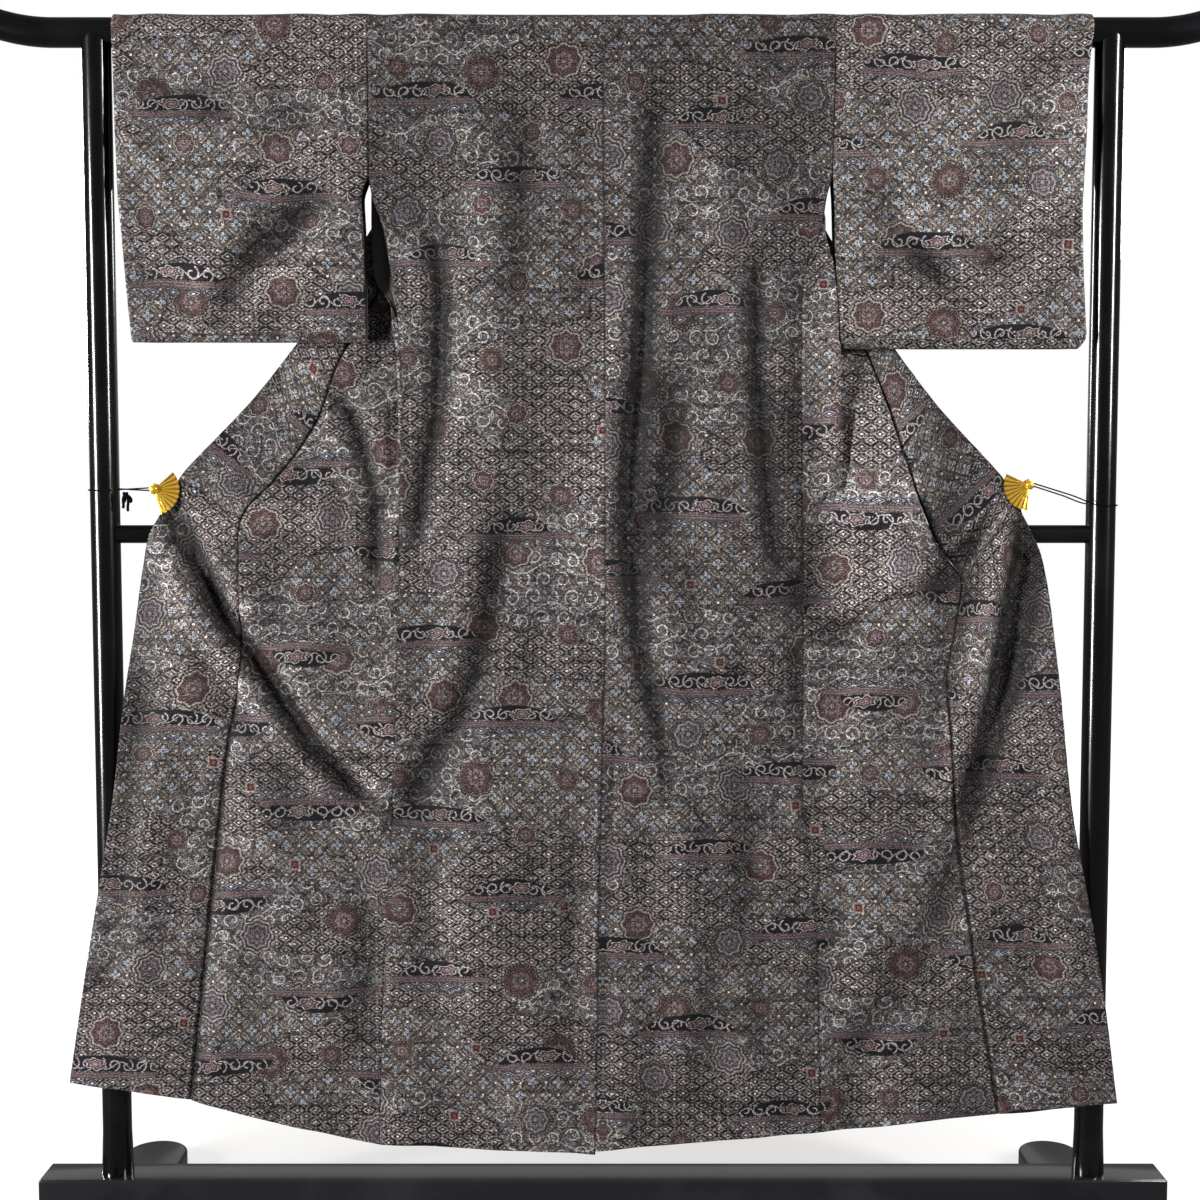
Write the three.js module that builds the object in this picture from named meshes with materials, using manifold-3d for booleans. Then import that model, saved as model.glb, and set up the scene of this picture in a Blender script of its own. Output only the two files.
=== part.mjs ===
// A lined kimono hung through its sleeves on the top bar of a lacquered stand, seen from its back,
// with both fronts drawn out sideways by two fan-shaped clips. Millimetres, +Z up, -Y is the side
// that shows the back of the kimono. The origin lies on the floor under the middle of the stand.
import * as THREE from 'three';
import { mergeVertices } from 'three/addons/utils/BufferGeometryUtils.js';
import Module from 'manifold-3d';

const wasm = await Module();
wasm.setup();

// ---- driving dimensions -------------------------------------------------------------------
const gap = 0.3;            // between two pieces that meet
const wall = 2;             // kimono cloth with its lining
const stand = {
  barZ: 1665, barRadius: 20, barStraight: 745, barEnd: 880, barRise: 36,
  postX: 688, postRadius: 20, railZ: 985, railRadius: 12.5,
  beamTop: 80, beamDepth: 63, beamHalf: 792,
  footHeight: 28, footWidth: 92, footLength: 500,
};
const cloth = {
  barRadius: 22.2,          // middle of the cloth where it lies over the bar
  backY: -27,               // the back panels and everything level with them
  layer: 5,                 // from one folded layer to the next, middle to middle
  neckHalf: 85,             // half the neck opening at the shoulder
  foldTop: 1640,            // the fronts' diagonal fold, its upper end
  foldBottom: 1060,
  flatFrom: 1005,           // below this the front lies level with the back
};
const tubeSides = 18;       // facets round each tube of the stand
const clip = {
  radius: 35.5, ribs: 10, pleat: 1.3, plate: 1.6,   // the open fan
  hub: 8, hubFront: -30.5, hubRound: 2.5,           // the round boss on its pivot
  jawLength: 44, jawHeight: 15, jawThick: 3, jawReach: 14,
  clothY: -20, calm: 55, blend: 90,                 // the cloth lies flat round the clip
  cord: 2, strands: 3.6,
};
clip.faceY = clip.clothY - wall / 2 - 3 * gap;      // the fan's rear face, just off the cloth
clip.hubBack = clip.clothY + wall / 2 + gap;

// Heights at which the panels are cut across, from the bar down to the collar ends.
const upperRows = [1620, 1570, 1520, 1475, 1440, 1400, 1345, 1290, 1245, 1200, 1155, 1105, 1060, 1030,
  1005, 975, 945, 917];
const lowerRows = 8;        // from there to the hem
const sleeveSeamEnd = 1475; // lower end of the seam between sleeve and body

// Half the garment each: distances from the middle, outward positive.
// side: back panel's edge, which is the side seam below 1290.   turn: how far the front reaches
// outward before it turns in behind the back.   front: the front's own side edge above the seam.
const sideTable = {
  left: [
    { z: 1665, side: 318, turn: 318, front: 318 },
    { z: 1475, side: 317, turn: 317, front: 317 },
    { z: 1440, side: 312, turn: 320, front: 317 },
    { z: 1400, side: 298, turn: 312, front: 317 },
    { z: 1345, side: 288, turn: 302, front: 314 },
    { z: 1290, side: 280, turn: 292, front: 292 },
    { z: 1245, side: 276, turn: 282, front: 276 },
    { z: 1155, side: 273, turn: 278, front: 273 },
    { z: 1060, side: 277, turn: 282, front: 277 },
    { z: 890, side: 281, turn: 281, front: 281 },
    { z: 630, side: 290, turn: 290, front: 290 },
    { z: 330, side: 307, turn: 307, front: 307 },
    { z: 130, side: 313, turn: 313, front: 313 },
  ],
  right: [
    { z: 1665, side: 314, turn: 314, front: 314 },
    { z: 1475, side: 310, turn: 310, front: 310 },
    { z: 1440, side: 302, turn: 304, front: 300 },
    { z: 1400, side: 296, turn: 300, front: 298 },
    { z: 1345, side: 275, turn: 314, front: 310 },
    { z: 1290, side: 270, turn: 322, front: 320 },
    { z: 1245, side: 270, turn: 323, front: 270 },
    { z: 1155, side: 271, turn: 323, front: 271 },
    { z: 1060, side: 273, turn: 322, front: 273 },
    { z: 890, side: 275, turn: 275, front: 275 },
    { z: 630, side: 276, turn: 276, front: 276 },
    { z: 480, side: 294, turn: 294, front: 294 },
    { z: 330, side: 301, turn: 301, front: 301 },
    { z: 148, side: 305, turn: 305, front: 305 },
  ],
};

// sewn: the front's inner edge, which is the collar seam above the collar's end and the overlap
// seam below it.
const sewnTable = {
  left: [
    { z: 1640, sewn: 98 }, { z: 1570, sewn: 143 }, { z: 1475, sewn: 205 }, { z: 1345, sewn: 290 },
    { z: 1245, sewn: 350 }, { z: 1200, sewn: 372 }, { z: 1155, sewn: 386 }, { z: 1105, sewn: 414 },
    { z: 1060, sewn: 450 }, { z: 1005, sewn: 495 }, { z: 973, sewn: 500 }, { z: 805, sewn: 499 },
    { z: 703, sewn: 516 }, { z: 617, sewn: 528 }, { z: 439, sewn: 549 }, { z: 195, sewn: 578 },
  ],
  right: [
    { z: 1640, sewn: 98 }, { z: 1570, sewn: 143 }, { z: 1475, sewn: 205 }, { z: 1345, sewn: 290 },
    { z: 1245, sewn: 356 }, { z: 1200, sewn: 376 }, { z: 1155, sewn: 392 }, { z: 1105, sewn: 408 },
    { z: 1060, sewn: 424 }, { z: 1030, sewn: 434 }, { z: 975, sewn: 458 }, { z: 917, sewn: 493 },
    { z: 854, sewn: 484 }, { z: 783, sewn: 474 }, { z: 696, sewn: 480 }, { z: 617, sewn: 485 },
    { z: 413, sewn: 513 }, { z: 173, sewn: 553 },
  ],
};

// edge: the overlap's free front edge, from the collar's end to the hem.
const edgeTable = {
  left: [
    { z: 1047, edge: 588 }, { z: 1012, edge: 608 }, { z: 973, edge: 625 }, { z: 854, edge: 644 },
    { z: 766, edge: 659 }, { z: 617, edge: 678 }, { z: 474, edge: 703 }, { z: 348, edge: 725 },
    { z: 219, edge: 746 },
  ],
  right: [
    { z: 1034, edge: 566 }, { z: 1012, edge: 577 }, { z: 960, edge: 601 }, { z: 819, edge: 623 },
    { z: 617, edge: 647 }, { z: 437, edge: 682 }, { z: 311, edge: 703 }, { z: 189, edge: 720 },
  ],
};

// The collar's free edge beside each cut of its seam: how far it lies outward and up from the seam.
const collarTable = {
  left: [
    { z: 1570, out: 46, up: 26 }, { z: 1475, out: 46, up: 30 }, { z: 1345, out: 47, up: 30 },
    { z: 1245, out: 46, up: 33 }, { z: 1200, out: 52, up: 43 }, { z: 1155, out: 63, up: 53 },
    { z: 1105, out: 71, up: 60 }, { z: 1060, out: 77, up: 60 }, { z: 1005, out: 93, up: 42 },
  ],
  right: [
    { z: 1570, out: 42, up: 26 }, { z: 1475, out: 40, up: 28 }, { z: 1345, out: 34, up: 26 },
    { z: 1245, out: 26, up: 20 }, { z: 1200, out: 33, up: 28 }, { z: 1155, out: 44, up: 36 },
    { z: 1105, out: 58, up: 48 }, { z: 1060, out: 72, up: 60 }, { z: 1030, out: 82, up: 70 },
    { z: 975, out: 92, up: 84 }, { z: 917, out: 73, up: 117 },
  ],
};
const collarEnd = { left: 1005, right: 917 };

// Where each collar passes from the neck to the front: seam height round the bar (degrees from the
// -Y side), its distance from the middle, and the free edge.
const neckTable = [
  { out: 0, turn: 70, freeOut: 0, freeY: 25, freeZ: 1636 },
  { out: 38, turn: 84, freeOut: 38, freeY: 28, freeZ: 1640 },
  { out: 79, turn: 103, freeOut: 80, freeY: 50, freeZ: 1656 },
];
const throatTable = [
  { turn: 130, out: 83.4, freeOut: 92, freeY: 64, freeZ: 1664 },
  { turn: 158, out: 83.4, freeOut: 108, freeY: 67, freeZ: 1658 },
  { turn: 180, out: 85.4, freeOut: 126, freeY: 63, freeZ: 1652 },
];
const throatRow = { z: 1620, freeOut: 154, freeY: 50, freeZ: 1644 };

// The neck opening: how far round the bar, and how far out the back's and front's inner edge lies.
const neckline = [
  { turn: 0, inner: 0 }, { turn: 33, inner: 0 }, { turn: 66, inner: 0 }, { turn: 80, inner: 40 },
  { turn: 98, inner: 84 }, { turn: 130, inner: 85 }, { turn: 158, inner: 86 }, { turn: 180, inner: 87 },
];

// Hems: height at the middle, the side seam, the overlap seam and the front edge.
const hems = {
  left: { middle: 116, side: 131, sewn: 192, edge: 219 },
  right: { middle: 121, side: 148, sewn: 174, edge: 189 },
};
const middleDrift = [{ z: 1665, x: 0 }, { z: 895, x: 3 }, { z: 547, x: -4 }, { z: 116, x: -11 }];

// Sleeves: inner edge (against the body down to the seam's end, then the free slit) and outer edge.
const sleeveTable = {
  left: [
    { z: 1665, inner: 318, outer: 661 }, { z: 1475, inner: 317, outer: 656 },
    { z: 1440, inner: 326, outer: 655 }, { z: 1400, inner: 324, outer: 652 },
    { z: 1313, inner: 322, outer: 646 }, { z: 1246, inner: 321, outer: 640 },
  ],
  right: [
    { z: 1665, inner: 314, outer: 660 }, { z: 1600, inner: 313, outer: 653 },
    { z: 1475, inner: 310, outer: 649 }, { z: 1440, inner: 312, outer: 648 },
    { z: 1364, inner: 314, outer: 650 }, { z: 1290, inner: 320, outer: 654 },
    { z: 1236, inner: 324, outer: 658 },
  ],
};
const sleeveBottom = { left: 1246, right: 1237 };
const sleeveRound = 14;     // depth of the rounded lower edge
const wristEnd = 1455;      // lower end of the wrist opening
const cornerRound = { left: 3, right: 17 };

// Soft folds: ridges stand toward -Y, troughs (negative depth) go back. x, z from and to.
const softFolds = [
  { x1: 57, z1: 1500, x2: 48, z2: 760, width: 26, depth: -5 },
  { x1: 128, z1: 1540, x2: 150, z2: 700, width: 44, depth: 7 },
  { x1: 205, z1: 1390, x2: 232, z2: 920, width: 24, depth: -5 },
  { x1: -229, z1: 1420, x2: -255, z2: 920, width: 24, depth: -5 },
  { x1: -150, z1: 1540, x2: -165, z2: 700, width: 46, depth: 7 },
  { x1: -50, z1: 1350, x2: -60, z2: 800, width: 26, depth: -3 },
  { x1: -170, z1: 930, x2: -190, z2: 250, width: 60, depth: 6 },
  { x1: 160, z1: 800, x2: 180, z2: 220, width: 60, depth: 6 },
  { x1: -48, z1: 560, x2: -40, z2: 180, width: 34, depth: -4 },
  { x1: -330, z1: 1140, x2: -318, z2: 860, width: 24, depth: -4 },
  { x1: -390, z1: 1000, x2: -440, z2: 300, width: 48, depth: 7 },
  { x1: -560, z1: 960, x2: -455, z2: 790, width: 20, depth: -5 },
  { x1: -600, z1: 900, x2: -660, z2: 300, width: 40, depth: 6 },
  { x1: 545, z1: 960, x2: 545, z2: 690, width: 20, depth: -5 },
  { x1: 590, z1: 860, x2: 640, z2: 300, width: 40, depth: 6 },
  { x1: 400, z1: 960, x2: 270, z2: 840, width: 26, depth: -4 },
  { x1: 330, z1: 930, x2: 360, z2: 700, width: 50, depth: 7 },
  { x1: 400, z1: 760, x2: 440, z2: 230, width: 50, depth: 6 },
  { x1: -500, z1: 1600, x2: -490, z2: 1270, width: 70, depth: 4 },
  { x1: 500, z1: 1600, x2: 500, z2: 1260, width: 70, depth: 4 },
];

// ---- small helpers ------------------------------------------------------------------------
const lerp = (a, b, t) => a + (b - a) * t;
const clamp = (v, lo, hi) => Math.min(hi, Math.max(lo, v));
const smooth = (t) => {
  const c = clamp(t, 0, 1);
  return c * c * (3 - 2 * c);
};
const sign = { left: -1, right: 1 };
const steps = (n) => Array.from({ length: n + 1 }, (_, i) => i / n);

// Reads one named column of a table at height z, straight between its rows.
function at(table, column, z) {
  if (z >= table[0].z) return table[0][column];
  for (let i = 1; i < table.length; i++) {
    const [upper, lower] = [table[i - 1], table[i]];
    if (z >= lower.z) return lerp(lower[column], upper[column], (z - lower.z) / (upper.z - lower.z));
  }
  return table[table.length - 1][column];
}

function mesh(name, geometry, material) {
  const piece = new THREE.Mesh(geometry, material);
  piece.name = name;
  return piece;
}

// A closed wall on a grid of points (rows of Vector3), half of it to each side. With loop the rows
// join up; the thickness at both side edges is kept free of X, so that seams stay parallel.
function wallSolid(rows, { loop = false, thickness = wall, seams = true } = {}) {
  const count = rows.length;
  const columns = rows[0].length;
  const point = (i, j) => rows[loop ? (i + count) % count : clamp(i, 0, count - 1)][clamp(j, 0, columns - 1)];
  const positions = [];
  for (const face of [0.5, -0.5]) {
    for (let i = 0; i < count; i++) {
      for (let j = 0; j < columns; j++) {
        const across = point(i, j + 1).clone().sub(point(i, j - 1));
        const along = point(i + 1, j).clone().sub(point(i - 1, j));
        const normal = along.cross(across).normalize();
        if (seams && (j === 0 || j === columns - 1)) normal.setX(0).normalize();
        const p = point(i, j).clone().addScaledVector(normal, face * thickness);
        positions.push(p.x, p.y, p.z);
      }
    }
  }
  const id = (face, i, j) => face * count * columns + (i % count) * columns + j;
  const index = [];
  const quad = (a, b, c, d) => index.push(a, b, c, a, c, d);
  const rowCells = loop ? count : count - 1;
  for (let i = 0; i < rowCells; i++) {
    for (let j = 0; j < columns - 1; j++) {
      quad(id(0, i, j), id(0, i + 1, j), id(0, i + 1, j + 1), id(0, i, j + 1));
      quad(id(1, i, j), id(1, i, j + 1), id(1, i + 1, j + 1), id(1, i + 1, j));
    }
    quad(id(0, i, 0), id(1, i, 0), id(1, i + 1, 0), id(0, i + 1, 0));
    quad(id(0, i, columns - 1), id(0, i + 1, columns - 1), id(1, i + 1, columns - 1), id(1, i, columns - 1));
  }
  if (!loop) {
    for (let j = 0; j < columns - 1; j++) {
      quad(id(0, 0, j), id(0, 0, j + 1), id(1, 0, j + 1), id(1, 0, j));
      const last = count - 1;
      quad(id(0, last, j), id(1, last, j), id(1, last, j + 1), id(0, last, j + 1));
    }
  }
  const geometry = new THREE.BufferGeometry();
  geometry.setAttribute('position', new THREE.Float32BufferAttribute(positions, 3));
  geometry.setIndex(index);
  return facingOut(geometry);
}

// Turns every triangle round if the solid's signed volume is negative.
function facingOut(geometry) {
  const p = geometry.attributes.position;
  const index = geometry.index;
  const [a, b, c] = [new THREE.Vector3(), new THREE.Vector3(), new THREE.Vector3()];
  let volume = 0;
  for (let i = 0; i < index.count; i += 3) {
    a.fromBufferAttribute(p, index.getX(i));
    b.fromBufferAttribute(p, index.getX(i + 1));
    c.fromBufferAttribute(p, index.getX(i + 2));
    volume += a.dot(b.cross(c));
  }
  if (volume < 0) {
    for (let i = 0; i < index.count; i += 3) {
      const swap = index.getX(i);
      index.setX(i, index.getX(i + 1));
      index.setX(i + 1, swap);
    }
  }
  geometry.computeVertexNormals();
  return geometry;
}

function toManifold(geometry) {
  const bare = geometry.clone();
  bare.deleteAttribute('normal');
  bare.deleteAttribute('uv');
  const merged = mergeVertices(bare, 1e-4);
  return new wasm.Manifold(new wasm.Mesh({
    numProp: 3,
    vertProperties: new Float32Array(merged.attributes.position.array),
    triVerts: new Uint32Array(merged.index.array),
  }));
}

function cutBy(geometry, tools) {
  let solid = toManifold(geometry);
  for (const tool of tools) solid = solid.subtract(toManifold(tool));
  const result = solid.getMesh();
  const cut = new THREE.BufferGeometry();
  cut.setAttribute('position', new THREE.BufferAttribute(new Float32Array(result.vertProperties), 3));
  cut.setIndex(new THREE.BufferAttribute(new Uint32Array(result.triVerts), 1));
  cut.computeVertexNormals();
  return cut;
}

function tubeAlong(points, radius, sides, count) {
  const section = new THREE.Shape();
  for (let i = 0; i < sides; i++) {
    const angle = (i / sides) * 2 * Math.PI;
    const [x, y] = [radius * Math.cos(angle), radius * Math.sin(angle)];
    if (i === 0) section.moveTo(x, y);
    else section.lineTo(x, y);
  }
  const path = new THREE.CatmullRomCurve3(points.map((p) => new THREE.Vector3(...p)), false, 'centripetal');
  return new THREE.ExtrudeGeometry(section, { steps: count, bevelEnabled: false, extrudePath: path });
}

// ---- materials ----------------------------------------------------------------------------
const finish = (color, roughness, metalness = 0) => (
  new THREE.MeshStandardMaterial({ color, roughness, metalness }));
const lacquer = finish('#0b0b0d', 0.15);
const silk = finish('#4a4340', 0.7);
const gold = finish('#d9a62e', 0.28, 1);
const cordBlack = finish('#15131a', 0.6);

// ---- the stand ----------------------------------------------------------------------------
function barPath() {
  const bend = [0.25, 0.5, 0.75, 1];
  const reach = stand.barEnd - stand.barStraight;
  const tip = bend.map((t) => [stand.barStraight + reach * t, 0, stand.barZ + stand.barRise * t * t]);
  const run = [400, stand.barStraight - 20, stand.barStraight];
  const straight = [...run.map((x) => -x).reverse(), 0, ...run].map((x) => [x, 0, stand.barZ]);
  return [...tip.map(([x, y, z]) => [-x, y, z]).reverse(), ...straight, ...tip];
}

function standPieces() {
  const pieces = new THREE.Group();
  pieces.add(mesh('top_bar', tubeAlong(barPath(), stand.barRadius, tubeSides, 24), lacquer));

  const round = (radius, length) => new THREE.CylinderGeometry(radius, radius, length, tubeSides);
  const facet = 1 / Math.cos(Math.PI / tubeSides);
  const barTool = round(stand.barRadius * facet + gap, 400).rotateZ(Math.PI / 2);
  const postTool = round(stand.postRadius * facet + gap, 200).rotateX(Math.PI / 2);
  for (const side of ['left', 'right']) {
    const x = sign[side] * stand.postX;
    const foot = stand.beamTop + gap;
    const post = round(stand.postRadius, stand.barZ - foot).rotateX(Math.PI / 2);
    post.translate(x, 0, (stand.barZ + foot) / 2);
    const saddle = barTool.clone().translate(x, 0, stand.barZ);
    pieces.add(mesh(`upright_${side}`, cutBy(post, [saddle]), lacquer));
  }
  const rail = round(stand.railRadius, 2 * stand.postX).rotateZ(Math.PI / 2).translate(0, 0, stand.railZ);
  const ends = [-1, 1].map((s) => postTool.clone().translate(s * stand.postX, 0, stand.railZ));
  pieces.add(mesh('mid_rail', cutBy(rail, ends), lacquer));

  const beamHeight = stand.beamTop - stand.footHeight - gap;
  const beam = new THREE.BoxGeometry(2 * stand.beamHalf, stand.beamDepth, beamHeight);
  beam.translate(0, 0, stand.beamTop - beamHeight / 2);
  pieces.add(mesh('base_beam', beam, lacquer));

  const half = stand.footWidth / 2;
  const straight = stand.footLength / 2 - half;
  const plan = new THREE.Shape();
  plan.moveTo(-half, -straight);
  plan.absarc(0, -straight, half, Math.PI, 2 * Math.PI);
  plan.absarc(0, straight, half, 0, Math.PI);
  for (const side of ['left', 'right']) {
    const options = { depth: stand.footHeight, bevelEnabled: false, curveSegments: 10 };
    const foot = new THREE.ExtrudeGeometry(plan, options);
    foot.translate(sign[side] * stand.postX, 0, 0);
    pieces.add(mesh(`foot_${side}`, foot, lacquer));
  }
  return pieces;
}

// ---- the cloth's own surfaces -------------------------------------------------------------
// The back's plane: on the bar at the shoulder, then forward of it, with the soft folds.
function softness(x, z) {
  let sum = 0;
  for (const fold of softFolds) {
    const [dx, dz] = [fold.x2 - fold.x1, fold.z2 - fold.z1];
    const length = Math.hypot(dx, dz);
    const s = ((x - fold.x1) * dx + (z - fold.z1) * dz) / (length * length);
    const away = ((x - fold.x1) * dz - (z - fold.z1) * dx) / length;
    const taper = smooth(s / 0.3) * smooth((1 - s) / 0.3);
    sum += fold.depth * taper * Math.exp(-((away / fold.width) ** 2));
  }
  return sum;
}
const clipAt = { left: { x: -614, z: 1047 }, right: { x: 583, z: 1053 } };
function nearClip(x, z) {
  const away = Math.min(...Object.values(clipAt).map((c) => Math.hypot(x - c.x, z - c.z)));
  return 1 - smooth((away - clip.calm) / clip.blend);
}
function backY(x, z) {
  const base = lerp(-cloth.barRadius, cloth.backY, smooth((stand.barZ - z) / 170));
  return lerp(base - softness(x, z), clip.clothY, nearClip(x, z));
}
// The layer that hangs behind the bar, and the front folded back onto it.
const farY = (z) => {
  const low = cloth.backY + cloth.layer;
  return lerp(low, cloth.barRadius, clamp((z - cloth.foldBottom) / (cloth.foldTop - cloth.foldBottom), 0, 1));
};
const flipY = (z) => farY(z) + cloth.layer;
// Below the fold's end the front swings level with the back.
const unrolled = (z) => smooth((cloth.foldBottom - z) / (cloth.foldBottom - cloth.flatFrom));

const middleX = (side, z) => at(middleDrift, 'x', z) + sign[side] * gap / 2;
const onBar = (x, degrees) => {
  const angle = THREE.MathUtils.degToRad(degrees);
  const r = cloth.barRadius;
  return new THREE.Vector3(x, -r * Math.cos(angle), stand.barZ + r * Math.sin(angle));
};

// Height of a lower row at each seam: all rows run from the lowest upper row to the hem.
const lastRow = upperRows[upperRows.length - 1];
const rowHeights = (hem) => [...upperRows, ...steps(lowerRows).slice(1).map((t) => lerp(lastRow, hem, t))];

// ---- body: back and front in one length over the shoulder -----------------------------------
const turnSteps = [0, 60, 120, 180];
const innerShare = [0.35, 0.75];
const outerCells = 4;
const bodyColumns = 1 + 2 * turnSteps.length + innerShare.length + outerCells;

// One cut across the front: out from the side seam, round behind, in to the diagonal fold, round
// again and out to the seam with the collar or overlap.
function frontCut(side, z) {
  const s = sign[side];
  const table = sideTable[side];
  const seam = at(table, 'side', z) + gap;
  const r = cloth.layer / 2;
  const sewnX = at(sewnTable[side], 'sewn', z);
  const share = clamp((cloth.foldTop - z) / (cloth.foldTop - cloth.foldBottom), 0, 1);
  const bottomX = at(table, 'side', cloth.foldBottom) - 4;
  const foldX = lerp(cloth.neckHalf + 7, bottomX, share);
  const joined = smooth((1330 - z) / 70);           // the side seam begins here
  const front = at(table, 'front', z);
  const turnX = lerp(front, Math.max(at(table, 'turn', z), seam + r + 0.6), joined);
  const startX = lerp(front, seam, joined);
  const nearY = backY(s * startX, z);
  const behindY = farY(z);
  const points = [];
  points.push([startX, lerp(behindY, nearY, joined)]);
  for (const degrees of turnSteps) {
    const a = THREE.MathUtils.degToRad(degrees);
    const folded = [turnX - r + r * Math.sin(a), nearY + r - r * Math.cos(a)];
    const open = [lerp(startX, foldX, (0.04 + degrees / 180) * 0.12), behindY];
    points.push([lerp(open[0], folded[0], joined), lerp(open[1], folded[1], joined)]);
  }
  const insideX = turnX - r;
  for (const t of innerShare) {
    const y = lerp(lerp(behindY, nearY + 2 * r, joined), behindY, smooth(t / 0.6));
    points.push([lerp(insideX, foldX + r, t), y]);
  }
  for (const degrees of turnSteps) {
    const a = THREE.MathUtils.degToRad(degrees);
    points.push([foldX + r - r * Math.sin(a), behindY + r - r * Math.cos(a)]);
  }
  for (const t of steps(outerCells).slice(1)) points.push([lerp(foldX + r, sewnX, t), flipY(z)]);
  return points.map(([x, y]) => new THREE.Vector3(s * x, y, z));
}

// The same cut where the front lies level with the back.
function levelCut(side, seamPoint, sewnPoint) {
  return steps(bodyColumns - 1).map((t) => {
    const x = lerp(seamPoint.x, sewnPoint.x, t);
    const z = lerp(seamPoint.z, sewnPoint.z, t);
    return new THREE.Vector3(x, backY(x, z), z);
  });
}

const seamHeights = (side) => {
  const hem = hems[side];
  const zip = (h) => rowHeights(h);
  return { middle: zip(hem.middle), side: zip(hem.side), sewn: zip(hem.sewn) };
};

function bodyPiece(side) {
  const s = sign[side];
  const heights = seamHeights(side);
  const rows = [];
  const count = heights.side.length;
  for (let i = count - 1; i >= 0; i--) {            // the back, hem to shoulder
    rows.push(steps(bodyColumns - 1).map((t) => {
      const z = lerp(heights.side[i], heights.middle[i], t);
      const x = lerp(s * at(sideTable[side], 'side', heights.side[i]), middleX(side, heights.middle[i]), t);
      return new THREE.Vector3(x, backY(x, z), z);
    }));
  }
  const shoulder = at(sideTable[side], 'side', stand.barZ);
  for (const { turn, inner } of neckline) {         // over the bar, round the neck opening
    const start = Math.max(inner, gap / 2);
    rows.push(steps(bodyColumns - 1).map((t) => onBar(s * lerp(shoulder, start, t), turn)));
  }
  for (let i = 0; i < count; i++) {                 // the front, shoulder to hem
    const level = levelCut(
      side,
      { x: s * (at(sideTable[side], 'side', heights.side[i]) + gap), z: heights.side[i] },
      { x: s * at(sewnTable[side], 'sewn', heights.sewn[i]), z: heights.sewn[i] },
    );
    const share = unrolled(heights.side[i]);
    if (share >= 1) rows.push(level);
    else rows.push(frontCut(side, heights.side[i]).map((p, j) => p.lerp(level[j], share)));
  }
  return mesh(`body_${side}`, wallSolid(rows), silk);
}

// ---- sleeves: one length folded over the bar and closed along the bottom ---------------------
function sleevePiece(side) {
  const s = sign[side];
  const table = sleeveTable[side];
  const bottom = sleeveBottom[side];
  const rowsDown = [1620, 1570, 1520, 1475, 1440, 1400, 1345, 1290, bottom + sleeveRound];
  const across = [0, 0.06, 0.3, 0.55, 0.8, 0.93, 0.97, 1];
  const columnX = (t, z) => {
    const corner = cornerRound[side];
    const round = t === 1 ? corner * (1 - Math.sqrt(clamp((z - bottom) / corner, 0.04, 1))) : 0;
    return s * (lerp(at(table, 'inner', z) + gap, at(table, 'outer', z), t) - round);
  };
  // Below the wrist opening the front layer comes up against the back one at the outer edge.
  const closing = (t, z) => smooth((t - 0.9) / 0.07) * smooth((wristEnd + 10 - z) / 50);
  const loop = [];
  for (const z of [...rowsDown].reverse()) {
    loop.push(across.map((t) => new THREE.Vector3(columnX(t, z), backY(columnX(t, z), z), z)));
  }
  for (const degrees of [0, 33, 66, 98, 130, 158, 180]) {
    loop.push(across.map((t) => onBar(columnX(t, stand.barZ), degrees)));
  }
  for (const z of rowsDown) {
    loop.push(across.map((t) => {
      const x = columnX(t, z);
      const near = backY(x, z) + wall + gap;
      return new THREE.Vector3(x, lerp(Math.max(farY(z), near), near, closing(t, z)), z);
    }));
  }
  for (const share of [0.82, 0.5, 0.18]) {
    const lowest = Math.sin(share * Math.PI);
    loop.push(across.map((t) => {
      const z = bottom + sleeveRound * (1 - lowest) + wall / 2;
      const x = columnX(t, z);
      const near = backY(x, bottom + sleeveRound);
      const far = lerp(Math.max(farY(z), near + wall + gap), near + wall + gap, closing(t, z));
      return new THREE.Vector3(x, lerp(near, far, share), z);
    }));
  }
  return mesh(`sleeve_${side}`, wallSolid(loop, { loop: true }), silk);
}

// ---- overlap (the narrow front panel) ---------------------------------------------------------
function overlapPiece(side) {
  const s = sign[side];
  const heights = seamHeights(side).sewn.filter((z) => z <= collarEnd[side]);
  const free = edgeTable[side];
  const drop = side === 'left' ? 2 * gap : 4 * gap; // clear of the collar's slanting end
  const topEdge = free[0].z - drop;
  const rows = heights.map((z) => {
    const t = (heights[0] - z) / (heights[0] - hems[side].sewn);
    const edgeZ = lerp(topEdge, hems[side].edge, t);
    const seamX = at(sewnTable[side], 'sewn', z) + gap;
    const seamZ = z - (t === 0 ? drop : 0);
    return steps(7).map((u) => {
      const x = s * lerp(seamX, at(free, 'edge', edgeZ), u);
      const zz = lerp(seamZ, edgeZ, u);
      return new THREE.Vector3(x, backY(x, zz), zz);
    });
  });
  return mesh(`overlap_${side}`, wallSolid(rows), silk);
}

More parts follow.
